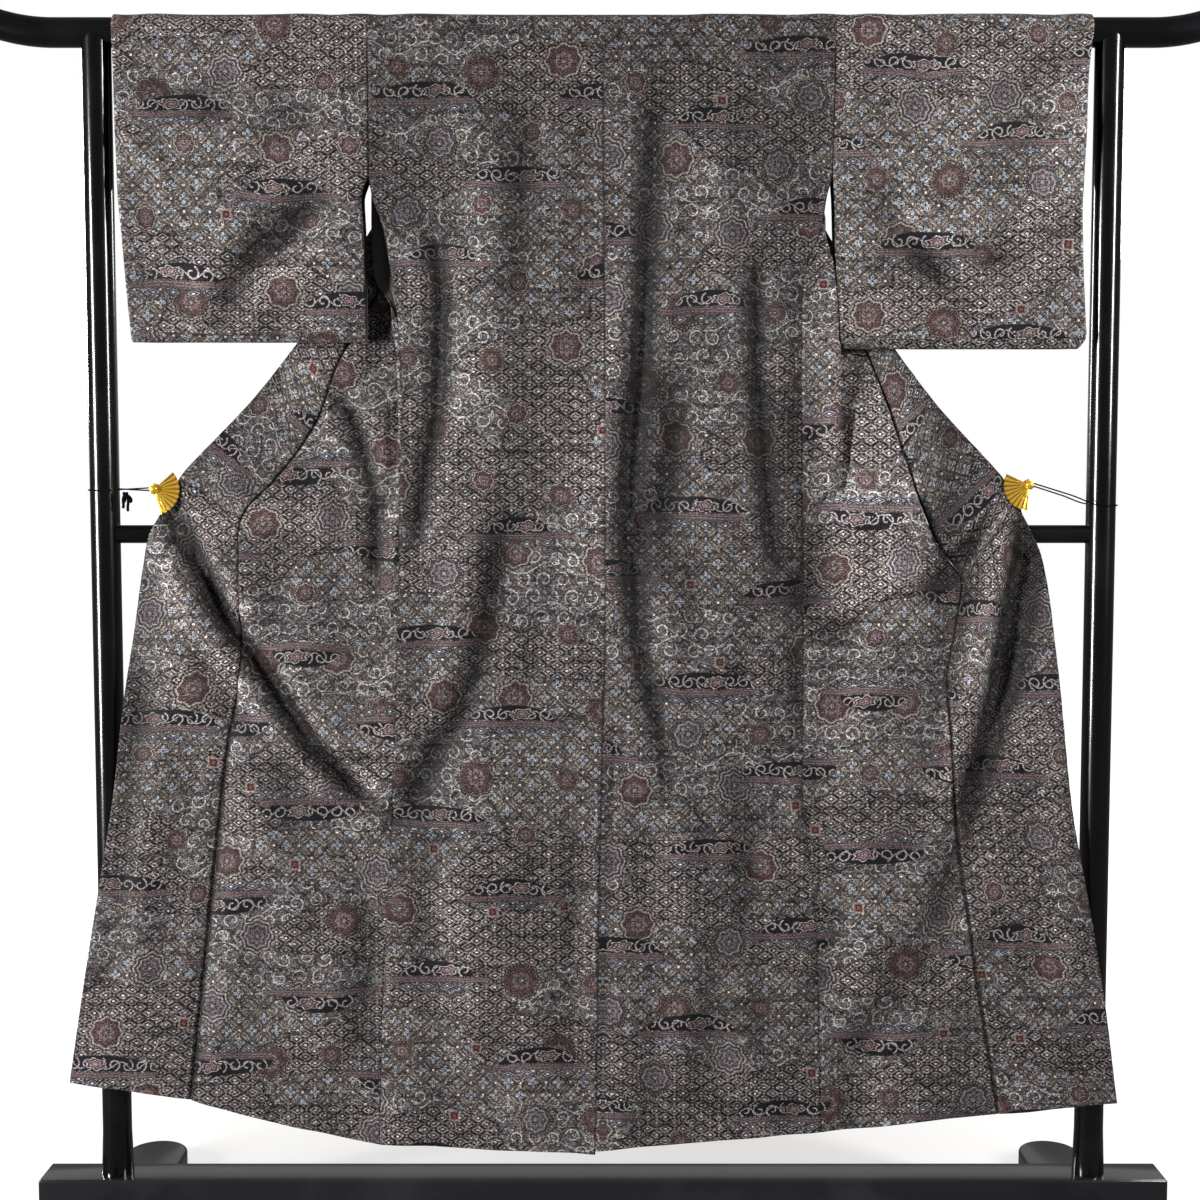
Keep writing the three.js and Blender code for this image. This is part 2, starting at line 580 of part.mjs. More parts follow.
// ---- collar: one long band from clip to clip, behind the bar at the neck ----------------------
function collarStations(side) {
  const s = sign[side];
  const across = steps(4);
  const stations = [];
  for (const row of neckTable) {
    const sewn = onBar(s * row.out, row.turn);
    const free = new THREE.Vector3(s * row.freeOut, row.freeY, row.freeZ);
    const over = new THREE.Vector3(s * row.out, 30, stand.barZ + 31);
    const curve = new THREE.QuadraticBezierCurve3(sewn, over, free);
    stations.push(across.map((t) => curve.getPoint(t)));
  }
  for (const row of throatTable) {
    const sewn = onBar(s * row.out, row.turn);
    if (row.turn === 180) sewn.y += wall + 4 * gap;
    const free = new THREE.Vector3(s * row.freeOut, row.freeY, row.freeZ);
    stations.push(across.map((t) => sewn.clone().lerp(free, t)));
  }
  const table = collarTable[side];
  const rows = upperRows.filter((z) => z >= collarEnd[side]);
  for (const z of rows) {
    const seamX = at(sewnTable[side], 'sewn', z) + gap;
    const share = unrolled(z);
    const sewnY = lerp(flipY(z), backY(s * seamX, z), share);
    const lapped = smooth((z - 1560) / 60);          // near the neck the band lies on the front's back
    const sewn = new THREE.Vector3(s * (seamX + 0.8 * lapped), sewnY + lapped * (wall + 3 * gap), z);
    let free;
    if (z === throatRow.z) {
      free = new THREE.Vector3(s * throatRow.freeOut, throatRow.freeY, throatRow.freeZ);
    } else {
      const freeZ = z + at(table, 'up', z);
      const freeX = s * (seamX + at(table, 'out', z));
      const behind = Math.max(flipY(freeZ) + 3, clip.clothY);
      free = new THREE.Vector3(freeX, lerp(behind, clip.clothY, nearClip(freeX, freeZ)), freeZ);
    }
    stations.push(across.map((t) => sewn.clone().lerp(free, t)));
  }
  return stations;
}

function collarPiece() {
  const left = collarStations('left');
  const right = collarStations('right');
  return mesh('collar', wallSolid([...left.reverse(), ...right.slice(1)], { seams: false }), silk);
}

// ---- fan clips and the cords that hold them ---------------------------------------------------
const fanSpread = { left: [41, -75], right: [155, 270] };

function clipPieces(side) {
  const pieces = new THREE.Group();
  const { x, z } = clipAt[side];
  const [from, to] = fanSpread[side];
  const angles = steps(2 * clip.ribs).map((t, i) => (
    { a: THREE.MathUtils.degToRad(lerp(from, to, t)), fold: i % 2 }));
  const fan = [clip.hub + 2 * gap, clip.radius / 2, clip.radius].map((r) => angles.map(({ a, fold }) => {
    const rise = clip.plate / 2 + fold * clip.pleat * (r / clip.radius);
    return new THREE.Vector3(x + r * Math.cos(a), clip.faceY - rise, z + r * Math.sin(a));
  }));
  pieces.add(mesh(`fan_${side}`, wallSolid(fan, { thickness: clip.plate, seams: false }), gold));

  const { hubFront, hubRound, hubBack } = clip;
  const hubProfile = [[0, hubFront], [clip.hub - hubRound, hubFront], [clip.hub, hubFront + hubRound],
    [clip.hub, hubBack], [0, hubBack]];
  const hub = new THREE.LatheGeometry(hubProfile.map(([r, y]) => new THREE.Vector2(r, y)), 16);
  hub.translate(x, 0, z);
  pieces.add(mesh(`hub_${side}`, hub, gold));

  const jaw = new THREE.BoxGeometry(clip.jawLength, clip.jawThick, clip.jawHeight);
  const middle = THREE.MathUtils.degToRad((from + to) / 2);
  jaw.translate(clip.jawReach, 0, 0).rotateY(-middle);
  jaw.translate(x, hubBack + gap + clip.jawThick / 2, z);
  pieces.add(mesh(`jaw_${side}`, jaw, gold));
  return pieces;
}

// The cord leaves the clip, goes once round the upright and comes back.
const wrapDrop = { left: 1, right: 28 };
function cordPiece(side) {
  const s = sign[side];
  const { x, z } = clipAt[side];
  const radius = stand.postRadius + clip.cord / 2 + 3 * gap;
  const start = x + s * (clip.hub + 2 * gap);
  const wrapZ = z - wrapDrop[side];
  const wrap = [-88, -60, -30, 0, 30, 60, 90, 122].map((degrees) => {
    const a = THREE.MathUtils.degToRad(degrees);
    return [s * (stand.postX + radius * Math.cos(a)), radius * Math.sin(a), wrapZ + degrees / 90];
  });
  const out = [start, clip.faceY - clip.strands, z + clip.strands / 2];
  const back = [start, clip.faceY, z - clip.strands / 2];
  const between = (a, b) => a.map((v, i) => lerp(v, b[i], 0.5));
  const points = [out, between(out, wrap[0]), ...wrap, between(wrap[wrap.length - 1], back), back];
  return mesh(`cord_${side}`, tubeAlong(points, clip.cord / 2, 6, 26), cordBlack);
}

// The bow hangs under the left cord, from the point where its tails cross.
const bowAt = { x: -654, y: -21.2, z: 1039.9 };
function bowPiece() {
  const outline = [[-5, 4], [2, 6], [7, 2], [3, -4], [6, -14], [3, -23], [-2, -20], [-8, -25],
    [-10, -16], [-4, -8]];
  const tails = new THREE.Shape(outline.map(([x, y]) => new THREE.Vector2(x, y)));
  const bow = new THREE.ExtrudeGeometry(tails, { depth: 5, bevelEnabled: false });
  bow.rotateX(Math.PI / 2).translate(bowAt.x, bowAt.y, bowAt.z);
  return mesh('cord_bow', bow, cordBlack);
}

// ---- the whole object -------------------------------------------------------------------------
const kimono = new THREE.Group();
kimono.add(standPieces());
for (const side of ['left', 'right']) {
  kimono.add(bodyPiece(side), sleevePiece(side), overlapPiece(side), clipPieces(side), cordPiece(side));
}
kimono.add(collarPiece(), bowPiece());
export default kimono;
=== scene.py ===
import math

import bpy
import numpy as np
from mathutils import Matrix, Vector


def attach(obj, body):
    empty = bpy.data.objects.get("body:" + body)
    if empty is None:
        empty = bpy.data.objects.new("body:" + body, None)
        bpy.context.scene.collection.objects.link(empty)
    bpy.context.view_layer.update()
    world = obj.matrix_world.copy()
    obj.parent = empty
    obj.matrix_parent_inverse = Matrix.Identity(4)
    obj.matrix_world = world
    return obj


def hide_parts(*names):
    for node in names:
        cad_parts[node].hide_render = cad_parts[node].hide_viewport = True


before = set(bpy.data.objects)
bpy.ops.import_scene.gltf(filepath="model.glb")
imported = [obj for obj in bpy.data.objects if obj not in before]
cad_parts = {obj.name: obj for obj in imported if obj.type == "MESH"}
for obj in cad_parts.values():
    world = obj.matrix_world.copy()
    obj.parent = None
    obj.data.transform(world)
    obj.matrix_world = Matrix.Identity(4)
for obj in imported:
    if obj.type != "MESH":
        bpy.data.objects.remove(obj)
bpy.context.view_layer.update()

# A lined kimono hung on a lacquered stand, back to the viewer. Sizes are millimetres in the frame's axes.
toMetres = 0.001
sideSign = {"left": -1, "right": 1}
gap = 0.3
seamGap = 0.0      # sewn edges meet here, so no daylight shows through a seam
scene = bpy.context.scene
print("frame loaded")


# ---- small helpers
def mix(a, b, t):
    return a + (b - a) * t


def smooth(t):
    t = np.clip(t, 0, 1)
    return t * t * (3 - 2 * t)


# A curve through known points: cubic pieces, the slope at each point the harmonic mean of both sides.
def through(known, values, x):
    known, values = np.asarray(known, float), np.asarray(values, float)
    if known[0] > known[-1]:
        known, values = known[::-1], values[::-1]
    step = np.diff(known)
    rise = np.diff(values) / step
    product = rise[:-1] * rise[1:]
    inner = np.where(product > 0, 2 * product / np.where(product > 0, rise[:-1] + rise[1:], 1), 0)
    slope = np.concatenate([rise[:1], inner, rise[-1:]])
    x = np.clip(x, known[0], known[-1])
    i = np.clip(np.searchsorted(known, x, side="right") - 1, 0, len(step) - 1)
    h, t = step[i], (x - known[i]) / step[i]
    start = (2 * t**3 - 3 * t**2 + 1) * values[i] + (t**3 - 2 * t**2 + t) * h * slope[i]
    return start + (3 * t**2 - 2 * t**3) * values[i + 1] + (t**3 - t**2) * h * slope[i + 1]


def along(table, column, z):
    return through(table["z"], table[column], z)


def points(*parts):
    return np.stack(np.broadcast_arrays(*parts), axis=-1).astype(float)


def addObject(name, data, slot, *replaced):
    thing = bpy.data.objects.new(name, data)
    scene.collection.objects.link(thing)
    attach(thing, "root")
    if replaced:
        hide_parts(*replaced)
    return thing


# ---- camera
camera = {"place": (0, -2353, 1054), "downward": 3.9, "lens": 51.0, "sensor": 36.0, "shiftX": -0.0025}
cameraData = bpy.data.cameras.new("viewCamera")
cameraData.lens, cameraData.sensor_width = camera["lens"], camera["sensor"]
cameraData.shift_x = camera["shiftX"]
cameraData.clip_end = 60
viewCamera = bpy.data.objects.new("viewCamera", cameraData)
viewCamera.location = Vector(camera["place"]) * toMetres
viewCamera.rotation_euler = (math.radians(90 - camera["downward"]), 0, 0)
scene.collection.objects.link(viewCamera)
scene.camera = viewCamera

# ---- sizes that the pieces share
stand = {
    "barZ": 1665, "barRadius": 20, "barStraight": 745, "barEnd": 880, "barRise": 36,
    "postX": 688, "postRadius": 20, "railZ": 985, "railRadius": 12.5,
    "beamTop": 80, "beamDepth": 63, "beamHalf": 792,
    "footHeight": 28, "footWidth": 92, "footLength": 500,
}
cloth = {
    "barRadius": 22.2, "backY": -27, "layer": 5, "neckHalf": 85,
    "foldTop": 1640, "foldBottom": 1060, "flatFrom": 1005,
    "wall": 1.7,             # cloth with its lining
    "rowStep": 7.0,          # from one row of the cloth's mesh to the next
    "postClear": (655, -21.4), "railClear": (26, -14.6), "free": 40.0,     # how near the stand it may come
}
clip = {
    "radius": 35.5, "ribs": 10, "pleat": 1.3, "plate": 1.6, "hubFront": -30.5,
    "jawLength": 44, "jawHeight": 15, "jawThick": 3, "jawReach": 14,
    "clothY": -20, "calm": 55, "blend": 90, "cord": 2, "strands": 3.6,
}
clip["faceY"] = clip["clothY"] - 1 - 3 * gap
clip["hubBack"] = clip["clothY"] + 1 + gap
clipAt = {"left": (-614, 1047), "right": (583, 1053)}


# ---- the cords, which hold the fans to the uprights
cords = {
    "wrapDrop": {"left": 1, "right": 28},
    "startAt": 6.0,                                # from the boss's middle to its side
    "length": {"left": 0.218, "right": 0.284},     # metres, both strands and the wrap
    "wrapAngles": (-88, -60, -30, 0, 30, 60, 90, 122),
}


# The cord's line: from the hub to the upright, round behind it on a circle, and back to the hub.
def cordRoute(side):
    s, (x, z) = sideSign[side], clipAt[side]
    radius = stand["postRadius"] + clip["cord"] / 2 + 3 * gap
    start = x + s * cords["startAt"]
    wrapZ = z - cords["wrapDrop"][side]
    turn = np.radians(cords["wrapAngles"])
    wrap = points(s * (stand["postX"] + radius * np.cos(turn)), radius * np.sin(turn),
                  wrapZ + np.degrees(turn) / 90)
    first = np.array([start, clip["faceY"] - clip["strands"], z + clip["strands"] / 2])
    last = np.array([start, clip["faceY"], z - clip["strands"] / 2])
    route = np.vstack([first, mix(first, wrap[0], 0.5), wrap, mix(wrap[-1], last, 0.5), last])
    travelled = np.concatenate([[0], np.cumsum(np.linalg.norm(np.diff(route, axis=0), axis=1))])
    fine = np.linspace(0, travelled[-1], 150)
    return np.stack([through(travelled, route[:, k], fine) for k in range(3)], axis=-1)


def openCurve(name, lines, diameter, slot, *replaced):
    data = bpy.data.curves.new(name, "CURVE")
    data.dimensions, data.bevel_depth, data.bevel_resolution = "3D", diameter / 2 * toMetres, 3
    data.use_fill_caps = True
    for line in lines:
        spline = data.splines.new("POLY")
        spline.points.add(len(line) - 1)
        four = np.hstack([line * toMetres, np.ones((len(line), 1))])
        spline.points.foreach_set("co", four.ravel())
    return addObject(name, data, slot, *replaced)


cordPieces = {}
for side in ("left", "right"):
    cordPieces[side] = openCurve(f"cord_{side}_elastic", [cordRoute(side)], clip["cord"], "cord",
                                 f"cord_{side}")

bow = {"at": (-653, -24.2, 1043.0), "loop": 11.0, "tail": 22.0, "diameter": 4.0}


# A bow: two loops that leave the knot sideways and come back, and two tails that hang down.
def bowLines():
    t = np.linspace(0, 2 * np.pi, 33)
    middle = np.array(bow["at"])
    lines = []
    for s in (-1, 1):
        reach = bow["loop"] * np.sin(t / 2) ** 0.9
        lines.append(middle + points(s * reach * (0.45 + 0.25 * s), 1.4 * np.sin(t) * s,
                                     -3 - reach * 0.8 + 2.4 * np.sin(t)))
        fall = np.linspace(0, 1, 16)
        lines.append(middle + points(s * (5 * fall + 1.5 * np.sin(5 * fall)), 0.6 * np.sin(4 * fall),
                                     -2 - bow["tail"] * fall - 2 * s * fall))
    knot = np.linspace(0, 2 * np.pi, 13)
    lines.append(middle + points(2.2 * np.cos(knot), 1.6 * np.sin(knot), -2.2 + 0.8 * np.sin(2 * knot)))
    return lines


bowPiece = openCurve("cord_bow_tied", bowLines(), bow["diameter"], "cord", "cord_bow")
for side in ("left", "right"):
    begin = cordRoute(side)[0] * toMetres
print("cords laid")


# ---- shader maths
# One number that varies over a surface. Python's operators add the Math nodes.
class Term:
    def __init__(self, finish, socket):
        self.finish, self.socket = finish, socket

    def __add__(self, other): return self.finish.maths("ADD", self, other)
    def __sub__(self, other): return self.finish.maths("SUBTRACT", self, other)
    def __rsub__(self, other): return self.finish.maths("SUBTRACT", other, self)
    def __mul__(self, other): return self.finish.maths("MULTIPLY", self, other)
    def __truediv__(self, other): return self.finish.maths("DIVIDE", self, other)
    def __rtruediv__(self, other): return self.finish.maths("DIVIDE", other, self)
    def __mod__(self, other): return self.finish.maths("FLOORED_MODULO", self, other)
    def __abs__(self): return self.finish.maths("ABSOLUTE", self)
    __radd__ = __add__
    __rmul__ = __mul__


# A material with its Principled shader. Constants are set straight on the shader's own sockets.
class Finish:
    def __init__(self, name, constants):
        self.material = bpy.data.materials.new(name)
        self.material.use_nodes = True
        self.tree = self.material.node_tree
        self.shader = self.tree.nodes["Principled BSDF"]
        for socket, value in constants.items():
            self.shader.inputs[socket].default_value = value

    def feed(self, socket, value):
        if isinstance(value, Term):
            value = value.socket
        if isinstance(value, bpy.types.NodeSocket):
            self.tree.links.new(value, socket)
        else:
            socket.default_value = value

    def node(self, kind, settings=None, inputs=None):
        made = self.tree.nodes.new("ShaderNode" + kind)
        for key, value in (settings or {}).items():
            setattr(made, key, value)
        for key, value in (inputs or {}).items():
            self.feed(made.inputs[key], value)
        return made

    def maths(self, operation, *values):
        made = self.node("Math", {"operation": operation}, dict(enumerate(values)))
        return Term(self, made.outputs[0])

    def vector(self, x, y, z=0.0):
        return self.node("CombineXYZ", None, {0: x, 1: y, 2: z}).outputs[0]

    def parts(self, vector):
        return [Term(self, out) for out in self.node("SeparateXYZ", None, {0: vector}).outputs]

    def noise(self, vector, scale, detail=2.0, flat=True):
        made = self.node("TexNoise", {"noise_dimensions": "2D" if flat else "3D"},
                         {"Vector": vector, "Scale": scale, "Detail": detail})
        return Term(self, made.outputs[0]), made.outputs[1]

    # 1 where a distance is below the edge, 0 above it, with a soft step between.
    def inside(self, distance, edge, soft=0.5):
        made = self.node("MapRange", {"clamp": True}, {0: distance, 1: edge + soft, 2: edge - soft})
        return Term(self, made.outputs[0])

    def stroke(self, distance, width, soft=0.5):
        return self.inside(abs(distance), width, soft)

    def over(self, under, colour, share):
        made = self.node("Mix", {"data_type": "RGBA"}, {0: share, 6: under, 7: colour})
        return made.outputs[2]

    def bump(self, height, distance, strength=1.0):
        made = self.node("Bump", None, {"Height": height, "Distance": distance, "Strength": strength})
        self.feed(self.shader.inputs["Normal"], made.outputs[0])


# A screen colour from 0 to 255 as the shader's own colour.
def tone(red, green, blue, gain=1.0):
    return tuple((c / 255) ** 2.2 * gain for c in (red, green, blue)) + (1.0,)


# ---- the silk: zones of small lattices and vines, rosettes, medallions and dark panels
silkLook = {
    "ground": tone(73, 67, 69), "groundLight": tone(78, 71, 70), "line": tone(7, 7, 8),
    "petal": tone(138, 141, 148), "ochre": tone(136, 124, 114), "beige": tone(151, 143, 141),
    "brown": tone(71, 63, 64), "pale": tone(202, 198, 195), "red": tone(92, 52, 57),
    "redBrown": tone(66, 49, 52), "navy": tone(46, 48, 58), "panel": tone(30, 29, 33),
    "pink": tone(124, 104, 102), "blue": tone(104, 111, 122),
    "zoneWide": 170, "zoneHigh": 64, "floretPitch": 35, "diamondWide": 25, "diamondHigh": 17,
    "curlPitch": 27, "flowerWide": 112, "flowerHigh": 96, "panelWide": 262, "panelHigh": 122,
    "floretShare": 0.4, "vineShare": 0.25, "ribPitch": 2.3,
    "roughness": 0.6, "sheen": 0.05, "specular": 0.1,
    # the hollow attribute's range, and the painted shade and highlight it maps to, as a factor on the silk's
    # colour
    "hollowRange": (-9, 8), "paintedShadeRange": (0.2, 1.75),       # deep folds look dark, ridges light
}


# Places on a staggered grid, each shifted by its own random amount: local x and y, and three random numbers.
def scattered(f, u, v, wide, high, shift, seed):
    row = f.maths("FLOOR", v / high)
    slid = u + (row % 2) * (wide / 2)
    column = f.maths("FLOOR", slid / wide)
    dice = f.node("TexWhiteNoise", {"noise_dimensions": "3D"}, {"Vector": f.vector(column, row, seed)})
    first, second, third = f.parts(dice.outputs[1])
    x = (slid % wide) - wide / 2 + (first - 0.5) * (2 * shift)
    y = (v % high) - high / 2 + (second - 0.5) * (2 * shift)
    return x, y, first, second, third


# A small help for all of the silk's parts: a named colour laid over what is there.
def lay(f, under, tint, share):
    return f.over(under, silkLook[tint], share)


# Zones like long clouds, cells of a stretched Voronoi pattern: where florets and vines fill them,
# the dark line round each, and each zone's own shade.
def silkZones(f, su, sv):
    look = silkLook
    zonePlace = f.vector(su / look["zoneWide"], sv / look["zoneHigh"])
    zoneEdge = f.node("TexVoronoi", {"feature": "DISTANCE_TO_EDGE", "voronoi_dimensions": "2D"},
                      {"Vector": zonePlace, "Scale": 1.0}).outputs["Distance"]
    zoneColour = f.node("TexVoronoi", {"feature": "F1", "voronoi_dimensions": "2D"},
                        {"Vector": zonePlace, "Scale": 1.0}).outputs["Color"]
    zone, _, zoneShade = f.parts(zoneColour)
    zoneLine = f.stroke(Term(f, zoneEdge), 0.014, 0.012)
    inFlorets = f.inside(zone, look["floretShare"], 0.002)
    inVines = f.inside(1 - zone, look["vineShare"], 0.002)
    return inFlorets, inVines, zoneLine, zoneShade


# Four-petal florets on a slanting lattice, paired bars between them.
def floretGround(f, u, v):
    look = silkLook
    pitch = look["floretPitch"]
    a = ((u + v) / pitch) % 1.0 - 0.5
    b = ((u - v) / pitch) % 1.0 - 0.5
    across, up = abs((a + b) * (pitch / 2)), abs((a - b) * (pitch / 2))
    long, short = f.maths("MAXIMUM", across, up), f.maths("MINIMUM", across, up)
    petalAt = f.maths("SQRT", ((long - 4.5) / 3.6) * ((long - 4.5) / 3.6) + (short / 2.6) * (short / 2.6))
    petals = f.inside(petalAt, 1.0, 0.12)
    petalRim = f.stroke(petalAt - 1.12, 0.13, 0.1)
    nearA, nearB = 0.5 - abs(a), 0.5 - abs(b)
    cell = pitch / math.sqrt(2)
    bars = f.maths("MAXIMUM", f.stroke(nearA * cell - 2.1, 0.8, 0.5) * f.inside(abs(b) * cell, 5.7, 0.8),
                   f.stroke(nearB * cell - 2.1, 0.8, 0.5) * f.inside(abs(a) * cell, 5.7, 0.8))
    crosses = f.inside((nearA + nearB) * cell, 2.0, 0.6)
    colour = f.over(look["groundLight"], look["petal"], petals * 0.9)
    colour = lay(f, colour, "line", petalRim * 0.9)
    colour = lay(f, colour, "ochre", bars * 0.9)
    return lay(f, colour, "pale", crosses)


# Diamonds with dotted outlines, small lozenges where the lines cross.
def diamondGround(f, u, v):
    look = silkLook
    p = u / look["diamondWide"] + v / look["diamondHigh"]
    q = u / look["diamondWide"] - v / look["diamondHigh"]
    a, b = abs(p % 1.0 - 0.5), abs(q % 1.0 - 0.5)
    widest = f.maths("MAXIMUM", a, b)
    colour = f.over(look["brown"], look["line"], f.inside(0.5 - widest, 0.05, 0.02))
    colour = lay(f, colour, "beige", f.stroke(widest - 0.3, 0.04, 0.02) * 0.85)
    colour = lay(f, colour, "line", f.stroke(widest - 0.19, 0.04, 0.02) * 0.8)
    colour = lay(f, colour, "pale", f.inside(widest, 0.1, 0.03) * 0.8)
    return lay(f, colour, "pink", f.inside(1 - a - b, 0.13, 0.03))


# Curls: a spiral in each cell, and a wavy stem; the florets show weakly between them.
def vineGround(f, su, sv, florets):
    look = silkLook
    x, y, first, _, third = scattered(f, su, sv, look["curlPitch"], look["curlPitch"], 4, 3.0)
    turned = f.maths("ARCTAN2", y * f.maths("SIGN", third - 0.5), x) / (2 * math.pi)
    turned = (turned + first) % 1.0
    away = f.maths("SQRT", x * x + y * y)
    curls = f.stroke(away - 3.5 - turned * 7.5, 0.95, 0.5) * f.inside(away, 11.2, 0.5)
    eye = f.inside(away, 2.0, 0.6)
    stem = f.stroke((sv % 54) - 27 - 9 * f.maths("SINE", su / 13), 0.8, 0.5)
    colour = f.over(look["ground"], look["pale"], f.maths("MAXIMUM", curls, stem) * 0.68)
    return f.over(lay(f, colour, "ochre", eye), florets, (1 - f.maths("MAXIMUM", curls, stem)) * 0.5)


# Small broken outlines, dark and light, along the levels of two noises, that tie the motifs together.
def brokenOutlines(f, colour, su, sv, zoneLine):
    busy, _ = f.noise(f.vector(su / 13, sv / 9), 1.0, 1.0)
    colour = lay(f, colour, "line", f.stroke(busy - 0.5, 0.026, 0.016) * 0.6)
    colour = lay(f, colour, "pale", f.stroke(busy - 0.6, 0.016, 0.014) * 0.45)
    busier, _ = f.noise(f.vector(su / 7 + 40, sv / 5), 1.0, 1.0)
    colour = lay(f, colour, "line", f.stroke(busier - 0.56, 0.034, 0.02) * 0.5)
    colour = lay(f, colour, "beige", f.stroke(busier - 0.4, 0.018, 0.02) * 0.3)
    streakNoise, _ = f.noise(f.vector(su / 130, sv / 11), 1.0, 2.0)
    streaks = f.inside(1 - streakNoise, 0.385, 0.025)
    return lay(f, colour, "line", f.maths("MAXIMUM", zoneLine * 0.6, streaks * 0.42))


# Round flowers: red-brown rosettes, light-rimmed medallions, small rosettes and squares.
def roundFlowers(f, colour, su, sv):
    look = silkLook
    x, y, first, second, third = scattered(f, su, sv, look["flowerWide"], look["flowerHigh"], 15, 11.0)
    large = f.inside(third, 0.55, 0.001)
    away = f.maths("SQRT", x * x + y * y) / (0.62 + large * 0.38)
    angle = f.maths("ARCTAN2", y, x)
    lobes = f.maths("COSINE", angle * 8)
    lobed = away / (1 + lobes * 0.07)
    chosen = f.inside(third, 0.84, 0.001)
    navyOne = f.inside(first, 0.45, 0.001) * large
    fill = f.inside(lobed, 22.5, 0.6) * chosen
    halo = f.inside(lobed, 29, 0.8) * chosen
    flower = f.over(look["redBrown"], look["navy"], navyOne)
    flower = lay(f, flower, "red", f.inside(abs(away - 13), 4.2, 1.0) * f.inside(1 - lobes, 1.1, 0.2) * 0.7)
    flower = lay(f, flower, "blue", navyOne * f.stroke(away - 15 - lobes * 1.5, 0.7, 0.5) * 0.8)
    flower = lay(f, flower, "line", f.inside(abs(f.maths("SINE", angle * 4)), 0.16, 0.08) * 0.8)
    flower = lay(f, flower, "beige", f.stroke(away - 7.5 - lobes * 1.6, 0.7, 0.5) * 0.7)
    flower = lay(f, flower, "beige", f.inside(away - lobes * 1.2, 2.2, 0.6))
    dots = f.inside(1 - f.maths("COSINE", away * 2.2) * f.maths("COSINE", angle * 16), 0.65, 0.2)
    flower = lay(f, flower, "line", dots * 0.6)
    flower = lay(f, flower, "line", f.stroke(away - 17.5 - lobes * 1.2, 0.6, 0.4) * 0.8)
    flower = lay(f, flower, "beige", f.stroke(away - 10 - lobes * 1.4, 0.5, 0.4) * 0.55)
    colour = lay(f, colour, "ochre", halo * f.inside(1 - f.maths("COSINE", angle * 36), 1.0, 0.4) * 0.55)
    colour = lay(f, colour, "line", f.stroke(lobed - 24.6, 0.8, 0.4) * chosen * 0.9)
    colour = f.over(colour, flower, fill * 0.8)
    rim = f.stroke(lobed - 21.6, 0.75, 0.5) * chosen * f.inside(second, 0.6, 0.001)
    colour = lay(f, colour, "beige", rim * 0.8)
    colour = lay(f, colour, "beige", navyOne * chosen * f.stroke(lobed - 16.5, 0.6, 0.5) * 0.8)
    boxed = f.maths("MAXIMUM", abs(x), abs(y))
    square = (1 - chosen) * f.inside(boxed, 7.6, 0.4)
    colour = lay(f, colour, "ochre", square * 0.7)
    colour = lay(f, colour, "red", (1 - chosen) * f.inside(boxed, 5.4, 0.4) * 0.85)
    return lay(f, colour, "line", (1 - chosen) * f.stroke(boxed - 3.2, 0.6, 0.4))


# Dark panels, arched above and flat below, with scrolls and one leaf; stripes and beads under them.
def darkPanels(f, colour, su, sv):
    look = silkLook
    x, y, _, second, third = scattered(f, su, sv, look["panelWide"], look["panelHigh"], 22, 29.0)
    shown = f.inside(third, 0.8, 0.001)
    halfLong = 44 + second * 32
    reach = abs(x) / halfLong
    arch = 22 * f.maths("SQRT", f.maths("MAXIMUM", 1 - reach * reach, 0.0)) - 5
    body = f.inside(y - arch, 0.0, 0.7) * f.inside(-5.5 - y, 0.0, 0.5) * f.inside(reach, 1.0, 0.01) * shown
    rows = (x / 19 + second * 7) % 1.0 - 0.5
    hookX, hookY = rows * 19, (y - 3.5) * f.maths("SIGN", (x / 38 + second * 3.5) % 1.0 - 0.5)
    hookAway = f.maths("SQRT", hookX * hookX + hookY * hookY)
    hookTurn = (f.maths("ARCTAN2", hookY, hookX) / (2 * math.pi) + 0.3) % 1.0
    hooks = f.stroke(hookAway - 2.6 - hookTurn * 6.5, 0.95, 0.5)
    tendril = f.stroke(y - 3 - 5.5 * f.maths("SINE", x / 6.0 + second * 6), 0.8, 0.5)
    scroll = f.maths("MAXIMUM", tendril, hooks)
    leafX, leafY = (x - 14) / 15, (y - 4 - (x - 14) * 0.12) / 7.5
    leafLobes = f.maths("COSINE", f.maths("ARCTAN2", leafY, leafX) * 6 + second * 9)
    leaf = f.maths("SQRT", leafX * leafX + leafY * leafY) * (1 + leafLobes * 0.16)
    panel = f.over(look["panel"], look["beige"], scroll * 0.85)
    panel = lay(f, panel, "panel", f.inside(leaf, 1.12, 0.04))
    panel = lay(f, panel, "redBrown", f.inside(leaf, 0.8, 0.05))
    panel = lay(f, panel, "pink", f.inside(leaf, 0.3, 0.08))
    panel = lay(f, panel, "beige", f.stroke(leaf - 0.92, 0.07, 0.05))
    panel = lay(f, panel, "beige", f.stroke(leaf - 0.52, 0.05, 0.04) * 0.7)
    colour = f.over(colour, panel, body)
    under = f.inside(abs(x), 70, 6.0) * shown
    stripes = f.stroke(y + 9, 0.8, 0.4) + f.stroke(y + 12.5, 0.8, 0.4)
    colour = lay(f, colour, "brown", under * f.stroke(y + 11, 4.6, 0.6) * 0.9)
    colour = lay(f, colour, "pink", under * stripes * 0.5)
    beadX = (x % 28) - 14
    bead = abs(beadX) / 13 + abs(y + 21) / 6.5
    colour = lay(f, colour, "navy", under * f.inside(bead, 1.0, 0.06) * 0.85)
    colour = lay(f, colour, "beige", under * f.stroke(bead - 0.62, 0.08, 0.05) * 0.6)
    return lay(f, colour, "pale", under * f.inside(bead, 0.22, 0.06) * 0.7)
